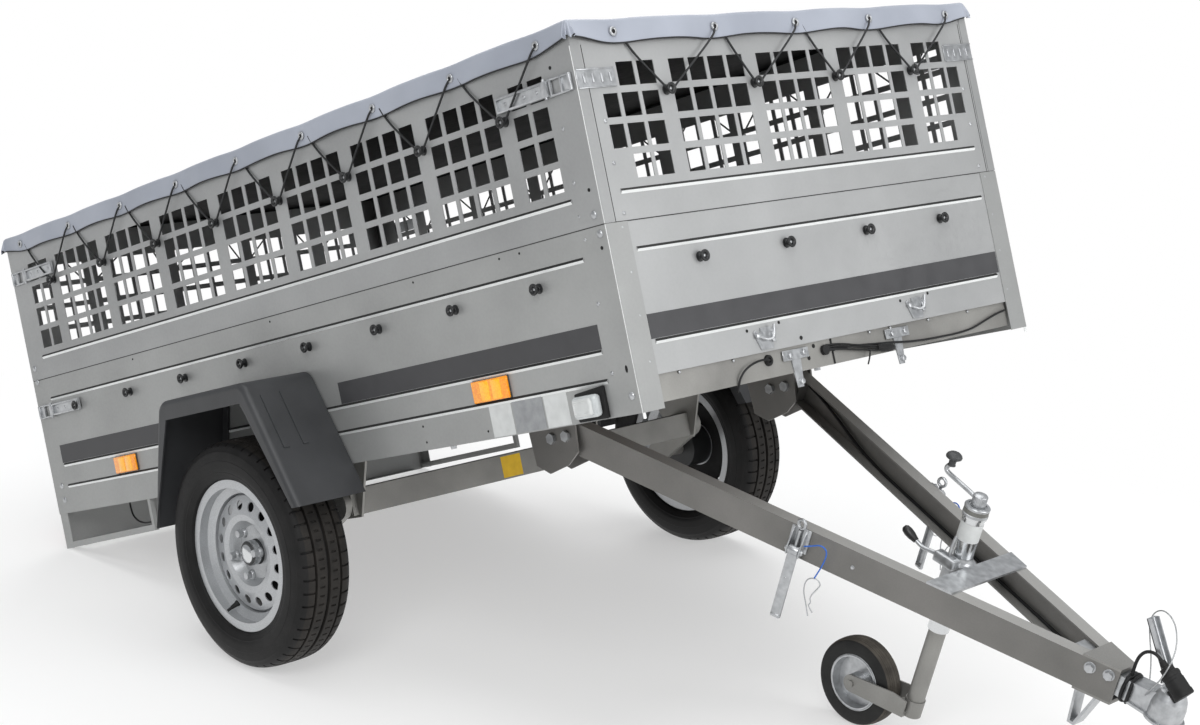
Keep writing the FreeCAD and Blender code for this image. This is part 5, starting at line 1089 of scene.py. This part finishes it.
# wheel bolts on a 100 mm circle, the domed hub cap, a dark disc of painted shade behind the disc's holes and the
# tyre valve;
# z points outboard from the disc
wheelTrim = {
    "circle": 0.050, "boltFace": 0.033, "turn": 0.30, "capFace": 0.028, "valve": (0.134, 0.043),
    "valveTurn": 4.15, "valveLean": 0.5,
    "paintedShadeDisc": [(0.0620, 0.004), (0.1180, 0.004), (0.1235, 0.001), (0.1250, -0.006), (0.1250, -0.012)],
}


def addWheelTrim(side, body, matrix):
    circle, turn = wheelTrim["circle"], wheelTrim["turn"]
    seat = spun("seat", [(0.0075, 0.007), (0.0098, 0.006), (0.0125, 0.0008), (0.0125, -0.002)], 28)
    head = addPrimitive("cylinder", "head", (0, 0, 0.0125), vertices=6, radius=0.0098, depth=0.014)
    bevelEdges(head, 0.0012, lambda middle, run: middle.z > 0.018, 2)
    angles = [turn + index * math.pi / 2 for index in range(4)]
    spots = [(circle * math.cos(angle), circle * math.sin(angle), wheelTrim["boltFace"]) for angle in angles]
    bolts = copies(joined("wheelBolt", [seat, head]), [Matrix.Translation(spot) for spot in spots])
    settle(joined(f"wheel_bolts_{side}", bolts), body, matrix, "zinc", 35)
    z = wheelTrim["capFace"]
    cap = spun(f"hub_cap_{side}", [(0, z + 0.0145), (0.010, z + 0.0140), (0.019, z + 0.0118),
                                   (0.0235, z + 0.0080), (0.0262, z + 0.0052), (0.0296, z + 0.0046),
                                   (0.0302, z + 0.0030), (0.0302, z - 0.012)], 48)
    settle(cap, body, matrix, "chrome", 50)
    # painted shade: a dark disc just behind the wheel disc, seen through its holes
    paintedShadeDisc = spun(f"painted_shade_disc_{side}", wheelTrim["paintedShadeDisc"], 48)
    settle(paintedShadeDisc, body, matrix, "shadow", 50)
    radius, z = wheelTrim["valve"]
    stem = spun(f"valve_{side}", [(0, 0.030), (0.0030, 0.030), (0.0036, 0.0285), (0.0036, 0.0190),
                                  (0.0046, 0.0180), (0.0058, 0.0060), (0.0078, 0.0012), (0.0078, -0.002)], 20)
    place = (Matrix.Rotation(turn + wheelTrim["valveTurn"], 4, "Z") @ Matrix.Translation((radius, 0, z))
             @ Matrix.Rotation(wheelTrim["valveLean"], 4, "Y"))
    settle(moved(stem, place), body, matrix, "rubber", 40)


def wheelMatrix(joint, side):
    return Matrix.Translation(joints[joint]["pos_m"]) @ Matrix.Rotation(-side * math.pi / 2, 4, "X")


for side, sign in (("right", -1), ("left", 1)):
    hubSpace = wheelMatrix(f"wheel_{side}_spin", sign)
    addTyre(side, f"wheel_{side}", hubSpace)
    addWheelTrim(side, f"wheel_{side}", hubSpace)
print("wheels dressed")


# the V: its outer faces close in towards the coupling
drawbar = {"length": 1.331, "spread": 0.395, "latchX": 0.558, "jockeyX": 0.806}
drawbar["turn"] = math.atan2(drawbar["spread"], drawbar["length"])


def armFace(x):
    return drawbar["spread"] * (drawbar["length"] - x) / drawbar["length"]


# a frame on the outer face of an arm: x along the arm, y to the left, which is outward on the left arm, z up
def armSpace(side, x, z=0.0):
    return Matrix.Translation((x, side * armFace(x), z)) @ Matrix.Rotation(-side * drawbar["turn"], 4, "Z")


# turns for flat plates: thickness along x with the outline in y and z, or thickness along y
# with the outline in x and -z
standAcross = Matrix(((0, 0, 1, 0), (1, 0, 0, 0), (0, 1, 0, 0), (0, 0, 0, 1)))
standAlong = Matrix(((1, 0, 0, 0), (0, 0, 1, 0), (0, -1, 0, 0), (0, 0, 0, 1)))


# overcentre latches on the arms, standing open with their levers hanging; y stands off the arm
latch = {"pivot": (0, 0.0190, -0.0125), "foot": -0.176, "back": 0.0240, "lanyardY": 0.0220}


def latchModel(side):
    parts = [block("base", (-0.023, 0.0004, -0.020), (0.023, 0.0050, 0.036), 0.0016)]
    for x in (-1, 1):
        cheek = plate("cheek", [(0.004, -0.026), (0.024, -0.026), (0.0275, -0.016), (0.0265, 0.002),
                                (0.018, 0.028), (0.010, 0.036), (0.004, 0.036)], 0.0032, 0.0007)
        parts.append(moved(cheek, Matrix.Translation((x * 0.0145 - 0.0016, 0, 0)) @ standAcross))
    pin = spun("pin", [(0, 0.0215), (0.0040, 0.0210), (0.0066, 0.0180), (0.0066, -0.0180), (0.0040, -0.0210),
                       (0, -0.0215)], 24)
    parts.append(moved(pin, Matrix.Translation(latch["pivot"]) @ Matrix.Rotation(math.pi / 2, 4, "Y")))
    barrel = addPrimitive("cylinder", "barrel", latch["pivot"], (0, math.pi / 2, 0), vertices=28,
                          radius=0.0102, depth=0.0240)
    parts.append(bevelEdges(barrel, 0.0014, lambda middle, run: abs(middle.x) > 0.011))
    lever = block("lever", (-0.012, 0.0165, latch["foot"]), (0.012, latch["back"], -0.016), 0.0030, 2,
                  lambda middle, run: abs(run.y) < 0.5)
    parts.append(insetFaces(lever, lambda middle, normal: normal.y < -0.9, (0.0022, 0), (0.0006, -0.0046)))
    parts.append(block("lip", (-0.0115, 0.0150, -0.178), (0.0115, 0.0262, -0.168), 0.0040, 3))
    head = Matrix.Translation((0, latch["back"], -0.080)) @ Matrix.Rotation(-math.pi / 2, 4, "X")
    parts.append(moved(rivet(0.0026, 0.0012), head))
    # the eye bolt stands up from the barrel, its ring closed by a weld
    parts.append(rod("shaft", [(0, 0.0150, -0.0125), (0, 0.0135, 0.010), (0, 0.0125, 0.034)], 0.0042, 4))
    parts.append(addPrimitive("torus", "eye", (0, 0.0125, 0.048), (math.pi / 2, 0, 0.35), (1, 1, 1.25),
                              major_radius=0.0098, minor_radius=0.0033, major_segments=36, minor_segments=12))
    made = joined(f"latch_{side}", parts)
    if side == "right":  # the left one's mirror image
        moved(made, Matrix.Scale(-1, 4, (0, 1, 0)))
        pick(made, lambda middle, normal: True)
        bpy.ops.mesh.normals_make_consistent(inside=False)
        endEdit()
    return made


# a spring clip on its lanyard hangs from each latch
def addLatches():
    for side, sign in (("right", -1), ("left", 1)):
        space = barMatrix @ armSpace(sign, drawbar["latchX"])
        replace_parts(settle(latchModel(side), "drawbar", space, "zinc", 40), f"drawbar_latch_{side}")
        y = sign * latch["lanyardY"]
        bends = [(0.0700, -0.1410), (0.0590, -0.1160), (0.0460, -0.0915), (0.0440, -0.0700),
                 (0.0500, -0.0570), (0.0640, -0.0505), (0.0770, -0.0570), (0.0780, -0.0640),
                 (0.0620, -0.0975), (0.0690, -0.1080), (0.0630, -0.1190), (0.0780, -0.1290)]
        clip = rod(f"spring_clip_{side}", [(x, y, z) for x, z in bends], 0.0014)
        settle(clip, "drawbar", space, "zinc", 60)
        # the lanyard is moulded on to the barrel and to the clip's loop, so it stands as a loop of its own
        lanyard = cordCurve(f"lanyard_{side}", [(0.0200, y * 0.9, 0.0060), (0.0360, y, 0.0150),
                                                (0.0540, y, 0.0263), (0.0700, y, 0.0217), (0.0735, y, 0.0040),
                                                (0.0680, y, -0.0266), (0.0610, y, -0.0515)],
                            0.0016, space, "blue")
        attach(lanyard, "drawbar")


# the jockey wheel's tube: crank with its mushroom knob, knurled cap, banded collar, blank label and foot
jockey = {
    "knobSpot": (0.717, 0, 0.2335), "knurls": 54, "bandLevel": 0.1637, "labelLevel": 0.1160,
    "gripSpot": (0.722, -0.0530, 0.054), "gripAim": (-0.80, -0.10, 0.36),
    "knob": [(0, 0.0205), (0.0060, 0.0202), (0.0120, 0.0186), (0.0160, 0.0152), (0.0178, 0.0112),
             (0.0172, 0.0080), (0.0130, 0.0052), (0.0082, 0.0030), (0.0074, -0.0060), (0.0086, -0.0085),
             (0.0086, -0.0105), (0, -0.0108)],
    "cap": [(0, 0.2020), (0.0060, 0.2018), (0.0132, 0.2000), (0.0160, 0.1970), (0.0160, 0.1745)],
    "collar": [(0.0200, 0.1752), (0.0262, 0.1748), (0.0278, 0.1730), (0.0278, 0.1700), (0.0270, 0.1694),
               (0.0270, 0.1580), (0.0278, 0.1574), (0.0278, 0.1530), (0.0262, 0.1512), (0.0238, 0.1508)],
    "foot": [(0.0246, 0.0550), (0.0262, 0.0470), (0.0310, 0.0415), (0.0345, 0.0405), (0.0345, 0.0372),
             (0.0246, 0.0368)],
    "grip": [(0, 0.0400), (0.0050, 0.0392), (0.0088, 0.0350), (0.0104, 0.0260), (0.0096, 0.0140),
             (0.0072, 0.0040), (0.0066, 0.0000), (0, -0.0010)],
}


def addJockey():
    x = drawbar["jockeyX"]
    onTube = Matrix.Translation((x, 0, 0))
    onBar("crank_knob", [moved(spun("knob", jockey["knob"], 36), Matrix.Translation(jockey["knobSpot"]))],
          "plastic", 50)
    arm = onBar("crank_arm", [rod("arm", [(x, 0, 0.186), (0.770, 0, 0.194), (0.722, 0, 0.203),
                                          (0.709, 0, 0.207), (0.707, 0, 0.216), (0.716, 0, 0.226),
                                          (0.717, 0, 0.236)], 0.0052, 4)],
                "zinc", 60)
    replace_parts(arm, "jockey_crank")
    knurls = jockey["knurls"]
    cap = insetFaces(spun("cap", jockey["cap"], knurls), lambda middle, normal: middle.xy.length > 0.0155 and
                     int(math.degrees(math.atan2(middle.y, middle.x)) % 360 / (360 / knurls)) % 2 == 0,
                     (0.0002, -0.0008))
    onBar("crank_cap", [moved(cap, onTube)], "zinc", 40)
    onBar("tube_collar", [moved(spun("collar", jockey["collar"], 48), onTube)], "zinc", 40)
    band = addPrimitive("cylinder", "band", (x, 0, jockey["bandLevel"]), vertices=48, radius=0.0272,
                        depth=0.0096)
    onBar("collar_band", [band], "bandGrey", 40)
    label = addPrimitive("cylinder", "label", (x, 0, jockey["labelLevel"]), vertices=48, radius=0.0243,
                         depth=0.0420, end_fill_type="NOTHING")
    pick(label, lambda middle, normal: normal.x * 0.45 - normal.y * 0.9 < -0.15)
    bpy.ops.mesh.delete(type="FACE")
    endEdit()
    onBar("tube_label", [label], "paper", 60)
    onBar("tube_foot", [moved(spun("foot", jockey["foot"], 48), onTube)], "zinc", 40)
    # brace between the tube and the clamp, and the clamp's lever with a vinyl grip
    brace = rod("brace", [(0.7960, -0.0270, 0.1000), (0.7960, -0.0360, 0.0850), (0.8010, -0.0390, 0.0420)],
                0.0036, 4)
    onBar("tube_brace", [brace], "zinc", 60)
    clamp = insetFaces(block("clamp", (0.772, -0.056, 0.0365), (0.826, -0.030, 0.0600), 0.0040, 3),
                       lambda middle, normal: normal.z > 0.95, (0.0045, 0), (0.0012, -0.0040))
    onBar("clamp_block", [clamp], "zinc", 40)
    lever = onBar("clamp_rod", [rod("lever", [(0.790, -0.046, 0.050), (0.770, -0.048, 0.052),
                                              (0.748, -0.050, 0.047), (0.730, -0.052, 0.050),
                                              (0.716, -0.054, 0.058)], 0.0048, 4)], "zinc", 60)
    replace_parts(lever, "clamp_lever")
    grip = moved(spun("grip", jockey["grip"], 32), aimed(jockey["gripSpot"], jockey["gripAim"]))
    onBar("clamp_grip", [grip], "grip", 50)


# the jockey's solid tyre and the rolled beads of its pressed rim
jockeyWheel = {
    "tyre": [(0.0625, 0.0190), (0.0640, 0.0228), (0.0700, 0.0238), (0.0900, 0.0236), (0.0955, 0.0222),
             (0.0975, 0.0200), (0.0985, 0.0168), (0.0972, 0.0158), (0.0990, 0.0148), (0.0994, 0.0112),
             (0.0980, 0.0104), (0.0996, 0.0094), (0.1000, 0.0056), (0.0984, 0.0048), (0.1000, 0.0038)],
    "bead": [(0.0600, 0.0228), (0.0634, 0.0246), (0.0650, 0.0236), (0.0640, 0.0220), (0.0610, 0.0190)],
    "treadFoot": 0.0955,
}


def addJockeyWheel():
    space = Matrix.Translation(joints["jockey_wheel_spin"]["pos_m"]) @ Matrix.Rotation(math.pi / 2, 4, "X")
    rubber = spun("jockey_tyre_dressed", jockeyWheel["tyre"] + mirrored(jockeyWheel["tyre"]), 96)
    paint(rubber, "jockeyRubber")
    rubber.data.materials.append(finishes["jockeyTread"])
    for polygon in rubber.data.polygons:
        polygon.material_index = 1 if polygon.center.xy.length > jockeyWheel["treadFoot"] else 0
    settle(rubber, "jockey_wheel", space, None, 40)
    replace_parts(rubber, "jockey_tyre")
    rings = [spun("rim", [(radius, sign * height) for radius, height in jockeyWheel["bead"]], 64)
             for sign in (1, -1)]
    settle(joined("jockey_rim_beads", rings), "jockey_wheel", space, "zinc", 50)


# drawbar bolts, the coupling's handle with its pressed flanges, the plug and its lead, the safety cable
nose = {
    "bolts": ((1.183, 0.018, 1), (1.221, 0.020, 1), (0.680, -0.002, 0.35)), "handleThick": 0.0032,
    "handlePath": [(1.3175, 0.0560), (1.3150, 0.0760), (1.2860, 0.1104), (1.2450, 0.1620)],
    "plugSpot": (1.310, -0.022, 0.1035), "plugLean": 30,
}


def addNose():
    bolts = [armSpace(sign, x, z) @ aimed((0, 0, 0), (0, sign, 0)) @ Matrix.Scale(size, 4)
             for sign in (-1, 1) for x, z, size in nose["bolts"]]
    onBar("nose_bolts", copies(hexBolt(0.017, 0.0085, 0.0125), bolts), "zinc", 35)
    path, thick = nose["handlePath"], nose["handleThick"]
    outline = [(x, -z) for x, z in path] + [(x + thick, -z - thick * 0.4) for x, z in reversed(path)]
    parts = []
    for low, high, grow in ((-0.0140, 0.0140, 0.0), (-0.0140, -0.0116, 0.0090), (0.0116, 0.0140, 0.0090)):
        shape = outline[:4] + [(x + grow * 0.85, z - grow * 0.5) for x, z in outline[4:]]
        part = plate("handle", shape, high - low, 0.0006)
        parts.append(moved(part, Matrix.Translation((0, low, 0)) @ standAlong))
    parts.append(rod("ridge", [(x + 0.0040, 0.002, z + 0.0022) for x, z in path], 0.0036))
    head = Matrix.Translation((1.2530, -0.006, 0.1540)) @ Matrix.Rotation(-0.9, 4, "Y")
    parts.append(moved(rivet(0.0058, 0.0030), head))
    handle = onBar("coupling_handle_dressed", parts, "zinc", 40)
    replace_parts(handle, "coupling_handle")
    # the lead's turns round the neck
    turns = []
    for x, lean, grow in ((1.2516, 0.004, 0.0), (1.2580, -0.003, 0.0012), (1.2648, 0.006, 0.0004)):
        low, high, wide = -0.0225 - grow, 0.0330 + grow, 0.0275 + grow
        turns.append(rod("turn", [(x + lean, -wide, low * 0.6), (x, -wide * 0.55, low), (x, wide * 0.55, low),
                                  (x - lean, wide, low * 0.6), (x - lean, wide, high * 0.6),
                                  (x, wide * 0.5, high), (x, -wide * 0.5, high),
                                  (x + lean, -wide, high * 0.6)], 0.0036, 4, closed=True))
    wound = onBar("lead_turns", turns, "cable", 60)
    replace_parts(wound, "trailer_lead")
    # the plug leans down beside the head: boot, collar and ribbed body with its round lid
    lean = math.radians(nose["plugLean"])
    plugSpace = aimed(nose["plugSpot"], (math.cos(lean), 0, -math.sin(lean)))
    plug = spun("plug", [(0, -0.002), (0.0062, -0.002), (0.0070, 0.0020), (0.0074, 0.0115), (0.0140, 0.0125),
                         (0.0144, 0.0215), (0.0186, 0.0240), (0.0200, 0.0270), (0.0200, 0.0330),
                         (0.0190, 0.0340), (0.0190, 0.0400), (0.0200, 0.0410), (0.0200, 0.0660),
                         (0.0212, 0.0675), (0.0212, 0.0765), (0.0196, 0.0780), (0, 0.0785)], 48)
    plug = onBar("plug_body", [moved(plug, plugSpace)], "rubber", 40)
    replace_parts(plug, "lead_plug")
    lug = block("lug", (-0.007, -0.0262, 0.052), (0.007, -0.0180, 0.078), 0.002)
    lug = onBar("plug_hinge", [moved(lug, plugSpace)], "rubber", 40)
    leadTail = cordCurve("lead_tail_cord", [(1.256, -0.010, 0.0359), (1.255, -0.012, 0.060),
                                            (1.259, -0.016, 0.084), (1.269, -0.020, 0.1015),
                                            (1.283, -0.022, 0.1105), (1.298, -0.022, 0.1106),
                                            (1.310, -0.022, 0.1035)], 0.0035, barMatrix, "cable")
    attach(leadTail, "drawbar")
    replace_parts(leadTail, "lead_tail")
    wire = cordCurve("safety_wire", [(1.281, 0.0245, 0.018), (1.266, 0.034, 0.056), (1.247, 0.036, 0.094),
                                     (1.235, 0.030, 0.130), (1.238, 0.022, 0.162), (1.258, 0.012, 0.184),
                                     (1.284, 0.002, 0.187), (1.310, -0.012, 0.176), (1.330, -0.028, 0.150),
                                     (1.336, -0.042, 0.118), (1.332, -0.050, 0.084), (1.316, -0.043, 0.048),
                                     (1.302, -0.0245, 0.022)], 0.0015, barMatrix, "wire")
    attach(wire, "drawbar")
    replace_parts(wire, "safety_cable")
    ring = addPrimitive("torus", "ring", (0.596, 0.2145, -0.0555), (0.1, 0.5, 0.2), major_radius=0.0115,
                        minor_radius=0.0010, major_segments=40, minor_segments=8)
    onBar("split_ring", [ring], "zinc", 60)


addLatches()
addJockey()
addJockeyWheel()
addNose()
print("drawbar dressed")


# the front cross member: hinge plates, holes, grommet, ties and cables; places are (y, z) on its face
sill = {
    "face": 2.392, "plates": (-0.172, 0.172), "plateReach": 0.041, "plateLow": 0.0395, "plateHigh": 0.0615,
    "bolts": ((-0.022, 0.0500), (0.022, 0.0515)),
    "holes": ((-0.1073, 0.0593), (-0.1287, 0.0360), (0.205, 0.046)),
    "panelHoles": ((-0.1473, 0.0818),), "grommet": (-0.2558, 0.0491), "screwEnd": (2.380, -0.0957, 0.0125),
    "sticker": (1.301, -0.115, -0.050, -0.121, -0.067),
    "underBolts": ((1.7875, 0.640, 0.0), (0.60, 0.640, 0.0)),
}


def addSill():
    face = sill["face"]
    zincParts, black, bolts = [], [], []
    for middle in sill["plates"]:
        reach = sill["plateReach"]
        zincParts.append(block("head", (face + 0.0026, middle - reach, sill["plateLow"]),
                               (face + 0.0050, middle + reach, sill["plateHigh"]), 0.0008, 1))
        bolts += [aimed((face + 0.0050, middle + y, z), (1, 0, 0), 0.3) for y, z in sill["bolts"]]
        bolts.append(aimed((face + 0.0032, middle + 0.002, -0.0080), (1, 0, 0), 0.6))
    bolts.append(aimed(sill["screwEnd"], (0, 0, -1)))
    bolts += [aimed((x, side * y, z), (0, 0, -1)) for x, y, z in sill["underBolts"] for side in (-1, 1)]
    zincParts += copies(hexBolt(0.012, 0.0055, 0.00744), bolts)
    onBox("sill_plates", zincParts, "zinc", 40)
    places = [aimed((face, y, z), (1, 0, 0)) for y, z in sill["holes"]]
    places += [aimed((box["front"], y, z), (1, 0, 0)) for y, z in sill["panelHoles"]]
    onBox("sill_holes", copies(darkHole(0.0046), places), "shadow", 40)
    # grommet on the left, a strap round the bundle, the taped splice and the tail of its tie
    y, z = sill["grommet"]
    ring = spun("grommet", [(0, 0.0015), (0.0050, 0.0015), (0.0062, 0.0052), (0.0092, 0.0060),
                            (0.0116, 0.0042), (0.0122, 0.0004), (0.0122, -0.0006)], 32)
    black.append(moved(ring, aimed((face, y, z), (1, 0, 0))))
    black.append(block("strap", (face + 0.0002, -0.0525, 0.0125), (face + 0.0020, -0.0475, 0.0675),
                       0.0007, 1))
    black.append(block("strap", (face + 0.0002, -0.0525, 0.0400), (face + 0.0075, -0.0465, 0.0560),
                       0.0015, 2))
    splice = spun("splice", [(0, -0.030), (0.0050, -0.029), (0.0072, -0.024), (0.0094, -0.010),
                             (0.0100, 0.006), (0.0086, 0.018), (0.0056, 0.026), (0, 0.028)], 24)
    black.append(moved(splice, aimed((face + 0.0105, 0.116, 0.0235), (0, 1, -0.12))))
    for low, high in ((0.0555, 0.0290), (0.0440, 0.0200), (0.0510, 0.0245)):
        black.append(rod("strand", [(face + 0.004, -0.072, low), (face + 0.009, -0.040, low - 0.001),
                                    (face + 0.011, 0.020, (low + high) / 2), (face + 0.0105, 0.094, high)],
                         0.0021, 2))
    black.append(rod("tieTail", [(face + 0.011, 0.0610, 0.0270), (face + 0.014, 0.0560, 0.0150),
                                 (face + 0.012, 0.0440, -0.0040)], 0.0018, 2))
    onBox("sill_harness", black, "rubber", 50)
    loop = cordCurve("sill_loop_cord", [(face + 0.004, y, z), (face + 0.014, y - 0.012, z + 0.003),
                                        (face + 0.013, y - 0.045, z + 0.004),
                                        (face + 0.010, y - 0.080, z - 0.006),
                                        (face + 0.006, y - 0.100, z - 0.024),
                                        (face + 0.002, y - 0.104, z - 0.040),
                                        (face - 0.004, y - 0.104, z - 0.052)],
                     0.0024, boxMatrix, "cable")
    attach(loop, "box")
    x, y0, y1, z0, z1 = sill["sticker"]
    onBox("blank_axle_sticker", [block("sticker", (x, y0, z0), (x + 0.0005, y1, z1))], "yellow")


addSill()
print("sill dressed")


# the photograph's camera in the box frame, with a lens that covers 32 degrees
camera = {
    "spot": (5.36453802, -3.48043718, 0.10185889), "forward": (-0.73347869, 0.67970639, 0.00287099),
    "right": (0.66590974, 0.71942464, -0.19746495), "pixels": 1200, "focalPixels": 2093.85, "sensor": 36,
}


def addCamera():
    data = bpy.data.cameras.new("camera")
    data.sensor_width = camera["sensor"]
    data.lens = camera["focalPixels"] / camera["pixels"] * camera["sensor"]
    data.clip_end = 200
    rig = bpy.data.objects.new("camera", data)
    bpy.context.scene.collection.objects.link(rig)
    forward = Vector(camera["forward"]).normalized()
    right = Vector(camera["right"]).normalized()
    pose = Matrix((right, right.cross(forward), -forward)).transposed().to_4x4()
    pose.translation = camera["spot"]
    rig.matrix_world = boxMatrix @ pose
    bpy.context.scene.camera = rig


# a wide pale floor, and a soft studio: a pale world with large lamps
studio = {
    "floorSize": 60, "floorColour": "#f7f7f6", "worldColour": "#e6e8eb", "worldStrength": 0.5,
    "nearReach": 1.1, "farReach": 2.2, "paleShare": 0.45,
    "lamps": [
        {"name": "keyLamp", "spot": (4.5, -5.5, 5.5), "size": 4.0, "power": 300},
        {"name": "skyLamp", "spot": (0.0, 0.5, 7.0), "size": 7.0, "power": 300},
        {"name": "rimLamp", "spot": (-5.0, 4.0, 4.5), "size": 3.5, "power": 140},
        {"name": "frontLamp", "spot": (6.5, 1.5, 2.5), "size": 3.5, "power": 160},
    ],
}


# painted floor, fading to plain white away from the object
def floorPaint():
    material, shader = newMaterial("studioFloorPaint", studio["floorColour"], 0.7)
    path = addNode(material, "LightPath")
    rays = addNode(material, "Math", {0: path.outputs["Is Glossy Ray"],
                                      1: path.outputs["Is Transmission Ray"]},
                   operation="MAXIMUM")
    place = addNode(material, "TexCoord").outputs["Object"]
    squeezed = addNode(material, "Mapping", {"Vector": place, "Scale": (0.62, 1, 1)}).outputs["Vector"]
    away = addNode(material, "VectorMath", {0: squeezed}, operation="LENGTH").outputs["Value"]
    fade = addNode(material, "MapRange", {"Value": away, "From Min": studio["nearReach"],
                                          "From Max": studio["farReach"]}, interpolation_type="SMOOTHSTEP")
    seen = addNode(material, "Math", {0: fade.outputs["Result"], 1: path.outputs["Is Camera Ray"]},
                   operation="MULTIPLY")
    pale = addNode(material, "Math", {0: path.outputs["Is Camera Ray"], 1: studio["paleShare"]},
                   operation="MULTIPLY")
    least = addNode(material, "Math", {0: seen.outputs[0], 1: pale.outputs[0]}, operation="MAXIMUM")
    plain = addNode(material, "Math", {0: least.outputs[0], 1: rays.outputs[0]}, operation="MAXIMUM")
    white = addNode(material, "Emission", {"Color": (1, 1, 1, 1), "Strength": 1.0})
    addNode(material, "MixShader", {0: plain.outputs[0], 1: shader.outputs[0], 2: white.outputs[0]},
            feeds=[material.node_tree.nodes["Material Output"].inputs["Surface"]])
    return material


def addStudio():
    floor = addPrimitive("plane", "studioFloor", size=studio["floorSize"])
    floor.data.materials.append(floorPaint())
    world = bpy.data.worlds.new("studioWorld")
    world.use_nodes = True
    worldNodes = world.node_tree.nodes
    background = worldNodes["Background"]
    background.inputs["Color"].default_value = linear(studio["worldColour"])
    background.inputs["Strength"].default_value = studio["worldStrength"]
    seen = addNode(world, "Background", {"Color": (1, 1, 1, 1)})
    rays = addNode(world, "LightPath")
    addNode(world, "MixShader", {0: rays.outputs["Is Camera Ray"], 1: background.outputs[0],
                                 2: seen.outputs[0]},
            feeds=[worldNodes["World Output"].inputs["Surface"]])
    bpy.context.scene.world = world
    for entry in studio["lamps"]:
        data = bpy.data.lights.new(entry["name"], "AREA")
        data.size = entry["size"]
        data.energy = entry["power"]
        lamp = bpy.data.objects.new(entry["name"], data)
        bpy.context.scene.collection.objects.link(lamp)
        aim = Vector((0, 0, 0.6)) - Vector(entry["spot"])
        lamp.matrix_world = Matrix.Translation(entry["spot"]) @ aim.to_track_quat("-Z",
                                                                                  "Y").to_matrix().to_4x4()


addCamera()
addStudio()
bpy.context.scene.view_settings.view_transform = "Standard"
print("studio ready")
